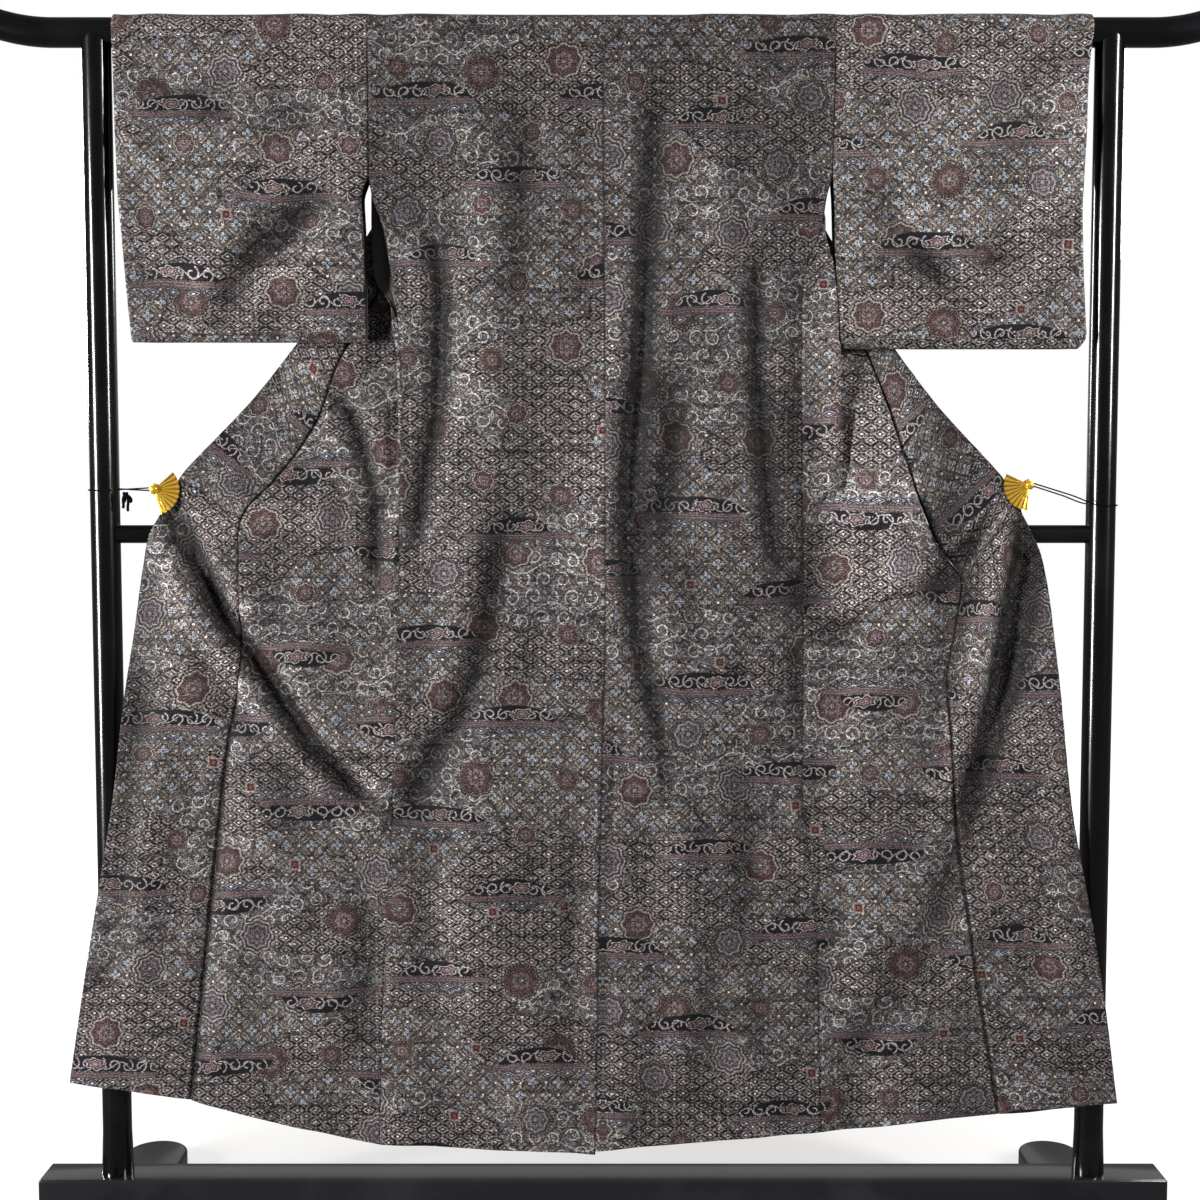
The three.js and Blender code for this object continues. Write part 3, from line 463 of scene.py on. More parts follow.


# The silk: motifs over three kinds of ground, times the weave's shade and a painted shade and highlight:
# darker in folds and seams, lighter on ridges.
def makeSilk():
    look = silkLook
    f = Finish("silkCloth", {"Sheen Weight": look["sheen"], "Sheen Roughness": 0.45,
                             "Specular IOR Level": look["specular"]})
    flat = f.node("UVMap", {"uv_map": "cut"}).outputs[0]
    u, v, _ = f.parts(flat)
    u, v = u * 1000, v * 1000
    _, driftColour = f.noise(f.vector(u / 90, v / 90), 1.0, 2.0)
    driftU, driftV, _ = f.parts(driftColour)
    su, sv = u + (driftU - 0.5) * 9, v + (driftV - 0.5) * 12

    inFlorets, inVines, zoneLine, zoneShade = silkZones(f, su, sv)
    florets = floretGround(f, u, v)
    colour = f.over(diamondGround(f, u, v), florets, inFlorets)
    colour = f.over(colour, vineGround(f, su, sv, florets), inVines)
    colour = brokenOutlines(f, colour, su, sv, zoneLine)
    colour = roundFlowers(f, colour, su, sv)
    colour = darkPanels(f, colour, su, sv)

    # the weave: weft ribs, uneven threads, and slow patches where the dye took more or less
    ribs = f.maths("SINE", v * (2 * math.pi / look["ribPitch"]))
    thread, _ = f.noise(f.vector(u / 2.4, v / 1.7), 1.0, 1.5)
    patch, _ = f.noise(f.vector(u / 34, v / 22), 1.0, 3.0)
    shade = thread * 3.7 - 0.93 + ribs * 0.1 + (patch - 0.5) * 0.8 + (zoneShade - 0.5) * 0.16
    # painted shade and highlight: the hollow attribute darkens the silk's colour in folds, seams and by
    # height, and lightens it on ridges
    hollow = Term(f, f.node("Attribute", {"attribute_name": "hollow"}).outputs["Fac"])
    (low, high), (dark, light) = look["hollowRange"], look["paintedShadeRange"]
    depth = f.node("MapRange", {"clamp": True}, {0: hollow, 1: low, 2: high, 3: dark, 4: light}).outputs[0]
    shade = shade * Term(f, depth)
    grey = f.node("CombineColor", None, {0: shade, 1: shade, 2: shade}).outputs[0]
    woven = f.node("Mix", {"data_type": "RGBA", "blend_type": "MULTIPLY"}, {0: 1.0, 6: colour, 7: grey})
    f.feed(f.shader.inputs["Base Color"], woven.outputs[2])
    f.feed(f.shader.inputs["Roughness"], look["roughness"] - 0.06 + thread * 0.12)
    brightness = f.node("RGBToBW", None, {0: colour}).outputs[0]
    f.bump(Term(f, brightness) * 0.6 + ribs * 0.25 + thread * 0.5, 0.00028, 0.55)
    return f.material


# The lining: a plain grey-brown weave, its tone kept dark partly as painted shade, since it shows mostly in
# the shaded slits.
def makeLining():
    f = Finish("liningCloth", {"Sheen Weight": 0.15, "Specular IOR Level": 0.3})
    flat = f.node("UVMap", {"uv_map": "cut"}).outputs[0]
    u, v, _ = f.parts(flat)
    u, v = u * 1000, v * 1000
    weave = f.maths("SINE", u * (2 * math.pi / 1.4)) * f.maths("SINE", v * (2 * math.pi / 1.4))
    cloud, _ = f.noise(f.vector(u / 40, v / 40), 1.0, 3.0)
    share = cloud * 0.7 + weave * 0.06 + 0.15
    f.feed(f.shader.inputs["Base Color"], f.over(tone(66, 61, 59), tone(90, 84, 80), share))
    f.feed(f.shader.inputs["Roughness"], 0.55 + cloud * 0.12)
    f.bump(weave * 0.4 + cloud, 0.0003, 0.4)
    return f.material


# Lacquer: near-black, glossy, with a faint orange peel and a little dust in the roughness.
def makeLacquer(name, dark, light):
    f = Finish(name, {"Coat Weight": 0.35, "Coat Roughness": 0.08, "Specular IOR Level": 0.5})
    place = f.node("TexCoord").outputs["Object"]
    peel, _ = f.noise(place, 55, 2, flat=False)
    dust, _ = f.noise(place, 260, 3, flat=False)
    wear, _ = f.noise(place, 9, 4, flat=False)
    f.feed(f.shader.inputs["Base Color"], f.over(dark, light, f.inside(1 - wear, 0.4, 0.1)))
    f.feed(f.shader.inputs["Roughness"], 0.10 + wear * 0.10 + dust * 0.05)
    f.bump(peel, 0.0002, 0.02)
    return f.material


# Gold plate: bright metal, fine brush marks round the clip and dull spots, and a painted shade in the fan's
# valleys.
def makeGold():
    f = Finish("goldPlate", {"Metallic": 0.65})
    place = f.node("TexCoord").outputs["Object"]
    spots, _ = f.noise(place, 120, 4, flat=False)
    scratch, _ = f.noise(place, 900, 2, flat=False)
    paintedValleyShade = Term(f, f.node("Attribute", {"attribute_name": "hollow"}).outputs["Fac"]) * -0.9
    gold = f.over(tone(252, 214, 96), tone(232, 176, 52), spots)
    f.feed(f.shader.inputs["Base Color"], f.over(gold, tone(70, 42, 8), paintedValleyShade))
    f.feed(f.shader.inputs["Roughness"], 0.2 + spots * 0.12 + scratch * 0.05)
    f.bump(scratch, 0.00005, 0.1)
    return f.material


# Elastic cord: dark, with a slanting braid.
def makeCord():
    f = Finish("braidedCord", {"Specular IOR Level": 0.06})
    place = f.node("TexCoord").outputs["Object"]
    x, _, z = f.parts(place)
    braid = f.maths("SINE", (x + z) * 5200) * f.maths("SINE", (x - z) * 5200)
    fluff, _ = f.noise(place, 800, 2, flat=False)
    f.feed(f.shader.inputs["Base Color"], f.over(tone(4, 3, 6), tone(34, 22, 36), braid * 0.3 + fluff * 0.3))
    f.feed(f.shader.inputs["Roughness"], 0.55 + fluff * 0.2)
    f.bump(braid, 0.0002, 0.5)
    return f.material


silkMaterial, liningMaterial = makeSilk(), makeLining()
lacquerMaterial = makeLacquer("blackLacquer", tone(8, 8, 10), tone(20, 20, 23))
# beam and feet: a lighter lacquer, a painted reflection of the bright surroundings
reflectionPaintedMaterial = makeLacquer("paintedReflectionLacquer", tone(32, 32, 34), tone(42, 42, 44))
goldMaterial, cordMaterial = makeGold(), makeCord()
for piece in (*cordPieces.values(), bowPiece):
    piece.data.materials.append(cordMaterial)
print("materials made")


# ---- the stand
# Fills a mesh from vertices and faces given as whole arrays.
def solidMesh(name, vertices, faces, material, slot, *replaced, smoothed=True):
    data = bpy.data.meshes.new(name)
    data.from_pydata(vertices * toMetres, [], faces)
    data.materials.append(material)
    data.polygons.foreach_set("use_smooth", np.full(len(data.polygons), smoothed))
    data.update()
    return addObject(name, data, slot, *replaced)


# Quads between rings of points, rings (n, m, 3), each ring closed; both ends filled with one face.
def ringFaces(count, around):
    i, j = np.meshgrid(np.arange(count - 1), np.arange(around), indexing="ij")
    k = (j + 1) % around
    quads = np.stack([i * around + j, i * around + k, (i + 1) * around + k, (i + 1) * around + j], -1)
    last = (count - 1) * around
    return [*quads.reshape(-1, 4).tolist(), list(range(around))[::-1], list(range(last, last + around))]


# The signed volume of a closed mesh is positive when its faces point outward.
def outward(vertices, faces):
    first = np.array([f[0] for f in faces for _ in range(len(f) - 2)])
    second = np.array([f[k] for f in faces for k in range(1, len(f) - 1)])
    third = np.array([f[k + 1] for f in faces for k in range(1, len(f) - 1)])
    a, b, c = vertices[first], vertices[second], vertices[third]
    volume = np.einsum("ij,ij->i", a, np.cross(b, c)).sum()
    return faces if volume > 0 else [f[::-1] for f in faces]


def ringSolid(name, rings, material, slot, *replaced):
    count, around = rings.shape[:2]
    vertices = rings.reshape(-1, 3)
    faces = outward(vertices, ringFaces(count, around))
    piece = solidMesh(name, vertices, faces, material, slot, *replaced)
    piece.data.set_sharp_from_angle(angle=math.radians(40))
    return piece


# Rings round a line in the XZ plane: centre + radius x (cos along Y, sin along the line's own normal).
def tubeRings(line, radii, sides):
    tangent = np.gradient(line, axis=0)
    tangent /= np.linalg.norm(tangent, axis=1, keepdims=True)
    turn = np.linspace(0, 2 * np.pi, sides, endpoint=False)[None, :, None]
    sideways = np.array([0.0, 1.0, 0.0])[None, None, :]
    normal = np.cross(tangent, [0.0, 1.0, 0.0])[:, None, :]
    circle = sideways * np.cos(turn) + normal * np.sin(turn)
    return line[:, None, :] + np.asarray(radii)[:, None, None] * circle


standLook = {"tubeSides": 56, "capRound": 6.0, "beamRound": 3.0, "footRound": 5.0, "weld": 2.2}


def makeBar():
    reach = stand["barEnd"] - stand["barStraight"]
    upswept = stand["barStraight"] + reach * np.linspace(0.05, 1, 20)
    x = np.concatenate([np.linspace(0, stand["barStraight"], 30), upswept])
    x = np.concatenate([-x[:0:-1], x])
    t = np.clip((abs(x) - stand["barStraight"]) / reach, 0, 1)
    line = points(x, 0 * x, stand["barZ"] + stand["barRise"] * t * t)
    # both tips are rounded: the last rings shrink on a quarter circle within the bar's own length
    r, quarter = standLook["capRound"], np.radians([90, 65, 40, 20, 0])
    inset = r * (1 - np.sin(quarter))[:, None]
    tipRadii = stand["barRadius"] - r * (1 - np.cos(quarter))
    heading = (line[-1] - line[-2]) / np.linalg.norm(line[-1] - line[-2])
    tip = line[-1] - inset * heading
    rings = np.vstack([tip * (-1, 1, 1), line[1:-1], tip[::-1]])
    radii = np.concatenate([tipRadii, np.full(len(line) - 2, stand["barRadius"]), tipRadii[::-1]])
    tube = tubeRings(rings, radii, standLook["tubeSides"])
    return ringSolid("topBar", tube, lacquerMaterial, "lacquer", "top_bar")


# A straight upright: circles from the beam to a saddle cut to the bar's own curve.
def makeUpright(side):
    turn = np.linspace(0, 2 * np.pi, standLook["tubeSides"], endpoint=False)
    x = sideSign[side] * stand["postX"]
    height = np.linspace(0, 1, 26)[:, None]
    foot = stand["beamTop"] + gap
    widening = standLook["weld"] * np.exp(-((height * (stand["barZ"] - foot)) / 2.5) ** 2)
    radius = stand["postRadius"] + widening
    y = radius * np.sin(turn)[None, :]
    clear = stand["barRadius"] + gap
    sunk = np.sqrt(np.maximum(clear**2 - (stand["postRadius"] * np.sin(turn)) ** 2, 0))
    saddle = stand["barZ"] - sunk[None, :]
    rings = points(x + radius * np.cos(turn)[None, :], y, mix(foot, saddle, height))
    return ringSolid(f"upright_{side}_tube", rings, lacquerMaterial, "lacquer", f"upright_{side}")


# The rail's ends are cut to the uprights' round: x at each end follows the post's circle.
def makeRail():
    turn = np.linspace(0, 2 * np.pi, 40, endpoint=False)
    y, z = stand["railRadius"] * np.sin(turn), stand["railZ"] + stand["railRadius"] * np.cos(turn)
    end = stand["postX"] - np.sqrt((stand["postRadius"] + gap) ** 2 - y**2)
    share = np.linspace(-1, 1, 31)[:, None]
    rings = points(share * end[None, :], y[None, :], z[None, :])
    return ringSolid("midRail", rings, lacquerMaterial, "lacquer", "mid_rail")


# A rounded rectangle, as points round it: corner centres plus a circle's quarters.
def roundedSection(halfWide, halfHigh, radius, steps=6):
    quarter = np.linspace(0, np.pi / 2, steps)
    turn = np.concatenate([quarter + k * np.pi / 2 for k in range(4)])
    cornerX = np.repeat([1, -1, -1, 1], steps) * (halfWide - radius)
    cornerY = np.repeat([1, 1, -1, -1], steps) * (halfHigh - radius)
    return cornerX + radius * np.cos(turn), cornerY + radius * np.sin(turn)


def makeBeam():
    low, high = stand["footHeight"] + gap, stand["beamTop"]
    r = standLook["beamRound"]
    quarter = np.radians([90, 60, 30, 0])
    inset = np.concatenate([r * (1 - np.cos(quarter)), [0, 0, 0, 0, 0], (r * (1 - np.cos(quarter)))[::-1]])
    near = r * (1 - np.sin(quarter))
    half = stand["beamHalf"]
    x = np.concatenate([-half + near, np.linspace(-half * 0.8, half * 0.8, 5), (half - near)[::-1]])
    rings = []
    for place, shrink in zip(x, inset):
        corner = max(r - shrink, 0.4)
        y, z = roundedSection(stand["beamDepth"] / 2 - shrink, (high - low) / 2 - shrink, corner)
        rings.append(points(place, y, (low + high) / 2 + z))
    return ringSolid("baseBeam", np.array(rings), reflectionPaintedMaterial, "lacquer", "base_beam")


# A foot: a plan with round ends, its edges rounded below and above.
def makeFoot(side):
    half = stand["footWidth"] / 2
    straight = stand["footLength"] / 2 - half
    turn = np.linspace(0, 2 * np.pi, 56, endpoint=False)
    r = standLook["footRound"]
    quarter = np.radians(np.linspace(0, 90, 7))
    height = np.concatenate([[0, 0.6, 1.6], stand["footHeight"] - r + r * np.sin(quarter)])
    inset = np.concatenate([[1.6, 0.5, 0], r * (1 - np.cos(quarter))])
    radius = (half - inset)[:, None]
    x = sideSign[side] * stand["postX"] + radius * np.cos(turn)
    y = np.sign(np.sin(turn) + 1e-9) * straight + radius * np.sin(turn)
    rings = points(x, y, height[:, None])
    return ringSolid(f"foot_{side}_plate", rings, reflectionPaintedMaterial, "lacquer", f"foot_{side}")


makeBar()
makeRail()
makeBeam()
for side in ("left", "right"):
    makeUpright(side)
    makeFoot(side)
print("stand made")

# ---- where the cloth's edges lie: distances outward from the middle, by height
panelEdge = {
    "left": {
        "z": [1665, 1475, 1440, 1400, 1345, 1290, 1245, 1155, 1060, 890, 630, 330, 130],
        "side": [318, 317, 312, 298, 288, 280, 276, 273, 277, 281, 290, 307, 313],
        "turn": [318, 317, 320, 312, 302, 292, 282, 278, 282, 281, 290, 307, 313],
        "front": [318, 317, 317, 317, 314, 292, 276, 273, 277, 281, 290, 307, 313],
    },
    "right": {
        "z": [1665, 1475, 1440, 1400, 1345, 1290, 1245, 1155, 1060, 890, 630, 480, 330, 148],
        "side": [314, 310, 302, 296, 275, 270, 270, 271, 273, 275, 276, 294, 301, 305],
        "turn": [314, 310, 304, 300, 314, 322, 323, 323, 322, 275, 276, 294, 301, 305],
        "front": [314, 310, 300, 298, 310, 320, 270, 271, 273, 275, 276, 294, 301, 305],
    },
}
sewnEdge = {
    "left": {
        "z": [1640, 1570, 1475, 1345, 1245, 1200, 1155, 1105, 1060, 1005, 973, 805, 703, 617, 439, 195],
        "sewn": [98, 143, 205, 290, 350, 372, 386, 414, 450, 495, 500, 499, 516, 528, 549, 578],
    },
    "right": {
        "z": [1640, 1570, 1475, 1345, 1245, 1200, 1155, 1105, 1060, 1030, 975, 917, 854, 783, 696, 617,
              413, 173],
        "sewn": [98, 143, 205, 290, 356, 376, 392, 408, 424, 434, 458, 493, 484, 474, 480, 485, 513, 553],
    },
}
freeEdge = {
    "left": {"z": [1047, 1012, 973, 854, 766, 617, 474, 348, 219],
             "edge": [588, 608, 625, 644, 659, 678, 703, 725, 746]},
    "right": {"z": [1034, 1012, 960, 819, 617, 437, 311, 189],
              "edge": [566, 577, 601, 623, 647, 682, 703, 720]},
}
collarEdge = {
    "left": {"z": [1570, 1475, 1345, 1245, 1200, 1155, 1105, 1060, 1005],
             "out": [46, 46, 47, 46, 52, 63, 71, 77, 93], "up": [26, 30, 30, 33, 43, 53, 60, 60, 42]},
    "right": {"z": [1570, 1475, 1345, 1245, 1200, 1155, 1105, 1060, 1030, 975, 917],
              "out": [42, 40, 34, 26, 33, 44, 58, 72, 82, 92, 73],
              "up": [26, 28, 26, 20, 28, 36, 48, 60, 70, 84, 117]},
}
sleeveEdge = {
    "left": {"z": [1665, 1475, 1440, 1400, 1313, 1246], "inner": [318, 317, 326, 324, 322, 321],
             "outer": [661, 656, 655, 652, 646, 640]},
    "right": {"z": [1665, 1600, 1475, 1440, 1364, 1290, 1236], "inner": [314, 313, 310, 312, 314, 320, 324],
              "outer": [660, 653, 649, 648, 650, 654, 658]},
}
hems = {
    "left": {"middle": 116, "side": 131, "sewn": 194, "edge": 219, "bow": 4},
    "right": {"middle": 121, "side": 148, "sewn": 174, "edge": 189, "bow": 0},
}
middleDrift = {"z": [1665, 895, 547, 116], "x": [0, 3, -4, -11]}
collarEnd = {"left": 1005, "right": 917}
sleeve = {"bottom": {"left": 1246, "right": 1237}, "round": 14, "wristEnd": 1455,
          "corner": {"left": 3, "right": 17}}

# Soft folds as in the part: a straight line from one point to another, its width and height.
softFolds = [
    (57, 1500, 48, 760, 26, -5), (128, 1540, 150, 700, 44, 7), (205, 1390, 232, 920, 24, -5),
    (-229, 1420, -255, 920, 24, -5), (-150, 1540, -165, 700, 46, 7), (-50, 1350, -60, 800, 26, -3),
    (-170, 930, -190, 250, 60, 6), (160, 800, 180, 220, 60, 6), (-48, 560, -40, 180, 34, -4),
    (-330, 1140, -318, 860, 24, -4), (-390, 1000, -440, 300, 48, 7), (-560, 960, -455, 790, 20, -5),
    (-600, 900, -660, 300, 40, 6), (545, 960, 545, 690, 20, -5), (590, 860, 640, 300, 40, 6),
    (400, 960, 270, 840, 26, -4), (330, 930, 360, 700, 50, 7), (400, 760, 440, 230, 50, 6),
    (-500, 1600, -490, 1270, 70, 4), (500, 1600, 500, 1260, 70, 4),
]

# Creases placed one by one: a curve through x and z, its width and its depth; troughs are negative.
creases = [
    ([70, 54, 41, 34, 51, 90], [1557, 1303, 1141, 1005, 840, 645], 17, -10),
    ([206, 207, 217, 236], [1371, 1250, 1100, 923], 15, -8),
    ([257, 272], [840, 729], 10, -3),
    ([119, 120], [978, 812], 22, -3),
    ([78, 105, 64], [1250, 1073, 1005], 24, -3),
    ([231, 151, 98, 26], [1448, 1311, 1109, 991], 4.5, -1.1),
    ([-241, -221, -225, -243, -258], [1417, 1303, 1168, 1060, 950], 15, -9),
    ([-148, -155, -190, -253, -282], [1019, 895, 757, 645, 575], 24, -8),
    ([-612, -592, -537, -463, -407, -343, -288], [1056, 1012, 895, 785, 701, 631, 582], 16, -15),
    ([-604, -560, -490, -430], [985, 880, 770, 690], 20, 5),
    ([-372, -340, -312, -313], [1190, 1130, 1005, 909], 14, -9),
    ([-372, -384], [1168, 1073], 11, 3),
    ([-390, -293], [826, 809], 8, -2.5),
    ([-575, -511, -429, -380], [1030, 1000, 1012, 1000], 24, 5),
    ([550, 503, 449, 367, 292], [1032, 964, 909, 874, 840], 15, -7),
    ([558, 525, 506], [991, 868, 757], 13, 5),
    ([597, 583, 560, 535, 502], [1040, 978, 840, 715, 575], 22, -17),
    ([612, 594, 566], [960, 850, 740], 26, -6),
    ([60, 52, 72], [1210, 1060, 900], 44, -5),
    ([502, 455, 387, 346], [575, 449, 321, 250], 28, -5),
    ([293, 290], [1195, 1073], 9, -4),
    ([352, 372, 385], [1190, 1040, 860], 58, 15),
    ([436, 458, 490], [1040, 975, 925], 9, -4),
    ([366, 384, 402, 418], [1200, 1155, 1105, 1060], 4, 2.5),
    ([-505, -516, -528, -549, -576, -581], [800, 703, 617, 439, 205, 165], 13, -4),
    ([-46, -46], [617, 392], 12, -3),
    ([12, 3, -1], [700, 406, 192], 9, -3),
    ([250, 274], [680, 505], 10, 4),
    ([-356, -451, -527], [1451, 1384, 1303], 26, -8),
    ([-342, -411, -494], [1437, 1357, 1263], 20, 4),
    ([-649, -543, -368], [1640, 1557, 1550], 24, -4),
    ([-645, -592], [1531, 1451], 14, 4),
    ([521, 482], [1613, 1521], 16, 4),
    ([361, 416, 512], [1464, 1371, 1290], 20, -5),
    ([402, 484, 540], [1437, 1344, 1263], 18, 4),
    ([548, 468], [1597, 1531], 16, -4),
    ([640, 600, 585], [1560, 1440, 1330], 30, 5),
    ([655, 520, 360], [1420, 1350, 1345], 22, -4),
    ([-640, -520, -400], [1380, 1330, 1350], 22, 4),
    ([-575, -590, -560], [960, 850, 700], 30, 6),
    ([-640, -660, -690], [800, 560, 320], 20, -4),
    ([-480, -440, -430], [620, 460, 260], 26, 4),
    ([-360, -330, -340], [560, 420, 240], 24, -4),
    ([-220, -190, -200], [520, 400, 220], 30, 4),
    ([-100, -110, -90], [900, 600, 300], 26, -3),
    ([90, 110, 100], [620, 430, 210], 24, 4),
    ([180, 200, 215], [700, 480, 230], 22, -4),
    ([330, 350, 340], [640, 470, 260], 26, 4),
    ([600, 622, 650], [760, 560, 330], 26, 4),
    ([-110, -95, -120], [1560, 1420, 1300], 26, -3),
    ([130, 150, 150], [1540, 1400, 1250], 24, 4),
    ([-170, -160, -175], [1500, 1350, 1150], 24, 4),
]
# Where two edges press together, in the same form: a line of painted shadow, without a dip of its own.
shadeLines = [
    ([-503, -516, -528, -549, -577, -581], [760, 703, 617, 439, 195, 160], 3.6, -11),
    ([474, 480, 485, 513, 553, 558], [783, 696, 617, 413, 173, 140], 2.6, -8),
    ([436, 458, 490], [1040, 975, 925], 4, -10),
]
creaseShape = {"ridgeAt": 1.9, "ridgeWide": 0.95, "ridgeShare": 0.32, "fade": 0.22}
ripples = {"count": 9, "height": 0.55, "shortest": 60, "longest": 210, "seed": 7}


# Soft folds: height x a taper at both ends x a bell across.
def softness(x, z):
    total = np.zeros(np.broadcast(x, z).shape)
    for x1, z1, x2, z2, width, height in softFolds:
        dx, dz = x2 - x1, z2 - z1
        length = math.hypot(dx, dz)
        s = ((x - x1) * dx + (z - z1) * dz) / length**2
        away = ((x - x1) * dz - (z - z1) * dx) / length
        total += height * smooth(s / 0.3) * smooth((1 - s) / 0.3) * np.exp(-((away / width) ** 2))
    return total


# One crease: a bell across its curve, with low ridges beside it, fading out at both ends.
def crease(x, z, line):
    xs, zs = np.array(line[0], float), np.array(line[1], float)
    width, depth = line[2:]
    steep = abs(zs[-1] - zs[0]) > abs(xs[-1] - xs[0])
    run, cross, runs, crosses = (z, x, zs, xs) if steep else (x, z, xs, zs)
    middle = through(runs, crosses, run)
    lean = (crosses[-1] - crosses[0]) / (runs[-1] - runs[0])
    away = abs(cross - middle) / math.hypot(1, lean) / width
    t = (run - runs[0]) / (runs[-1] - runs[0])
    taper = smooth(t / creaseShape["fade"] + 0.3) * smooth((1 - t) / creaseShape["fade"] + 0.3)
    taper = taper * smooth((t + 0.12) / 0.12) * smooth((1.12 - t) / 0.12)
    beside = np.exp(-(((away - creaseShape["ridgeAt"]) / creaseShape["ridgeWide"]) ** 2))
    return depth * taper * (np.exp(-(away**2)) - creaseShape["ridgeShare"] * beside)


# Slow uneven ripples: a sum of sine waves in seeded directions.
def rippled(x, z):
    rng = np.random.default_rng(ripples["seed"])
    total = np.zeros(np.broadcast(x, z).shape)
    for _ in range(ripples["count"]):
        angle, phase = rng.uniform(-0.6, 0.6), rng.uniform(0, 2 * np.pi)
        wave = rng.uniform(ripples["shortest"], ripples["longest"])
        total += np.sin((x * np.cos(angle) + z * np.sin(angle) * 0.5) * 2 * np.pi / wave + phase)
    return total * ripples["height"]


def clipDistance(x, z):
    return np.minimum(*(np.hypot(x - cx, z - cz) for cx, cz in clipAt.values()))


def nearClip(x, z):
    return 1 - smooth((clipDistance(x, z) - clip["calm"]) / clip["blend"])


# All creases and ripples, fading out on the bar and right at the clips.
def creased(x, z):
    total = rippled(x, z)
    for line in creases:
        total = total + crease(x, z, line)
    return total * smooth((1655 - z) / 60) * smooth((clipDistance(x, z) - 24) / 16)


# The lines of painted shadow, which only darken the silk's colour.
def shaded(x, z):
    return sum(crease(x, z, line) for line in shadeLines)


# The back's plane: on the bar at the shoulder, then forward of it, less the folds, clear of the stand.
def backY(x, z):
    base = mix(-cloth["barRadius"], cloth["backY"], smooth((stand["barZ"] - z) / 170))
    y = mix(base - softness(x, z), clip["clothY"], nearClip(x, z)) - creased(x, z)
    (postFrom, postY), (railReach, railY) = cloth["postClear"], cloth["railClear"]
    posts = np.where(abs(x) > postFrom, postY, cloth["free"])
    rail = np.where(abs(z - stand["railZ"]) < railReach, railY, cloth["free"])
    return np.minimum(y, np.minimum(posts, rail))


# The plane of the folded front behind the back, and the plane of the strip turned out again behind that.
def farY(z):
    low = cloth["backY"] + cloth["layer"]
    share = np.clip((z - cloth["foldBottom"]) / (cloth["foldTop"] - cloth["foldBottom"]), 0, 1)
    return mix(low, cloth["barRadius"], share)


def flipY(z):
    return farY(z) + cloth["layer"]


# 0 where the front's edge is folded away, 1 below, where it lies open beside the back.
def unrolled(z):
    return smooth((cloth["foldBottom"] - z) / (cloth["foldBottom"] - cloth["flatFrom"]))


# Folds on the sides that hang away from the back: the same ones, shifted and lower.
def hiddenFolds(x, z):
    return 0.6 * creased(x * 0.94 + 25, z - 45) * smooth((abs(x) - 120) / 60)


# The front's own relief: creases where it shows beyond the pleat, low folds where it hangs behind.
def frontRelief(side, x, z):
    edge = panelEdge[side]
    reach = np.maximum(along(edge, "side", z), along(edge, "turn", z))
    shows = smooth((x - reach - 3) / 24)
    s = sideSign[side]
    return creased(s * x, z) * shows + hiddenFolds(s * x, z) * (1 - shows) * 0.3


# How far the collar's seam counts as seen, from its distance to the middle.
def collarShows(x):
    return smooth((abs(x) - 250) / 60)


# One value for each vertex, which the materials read.
def storeHollow(data, values):
    layer = data.attributes.new("hollow", "FLOAT", "POINT")
    layer.data.foreach_set("value", values.astype(np.float32))


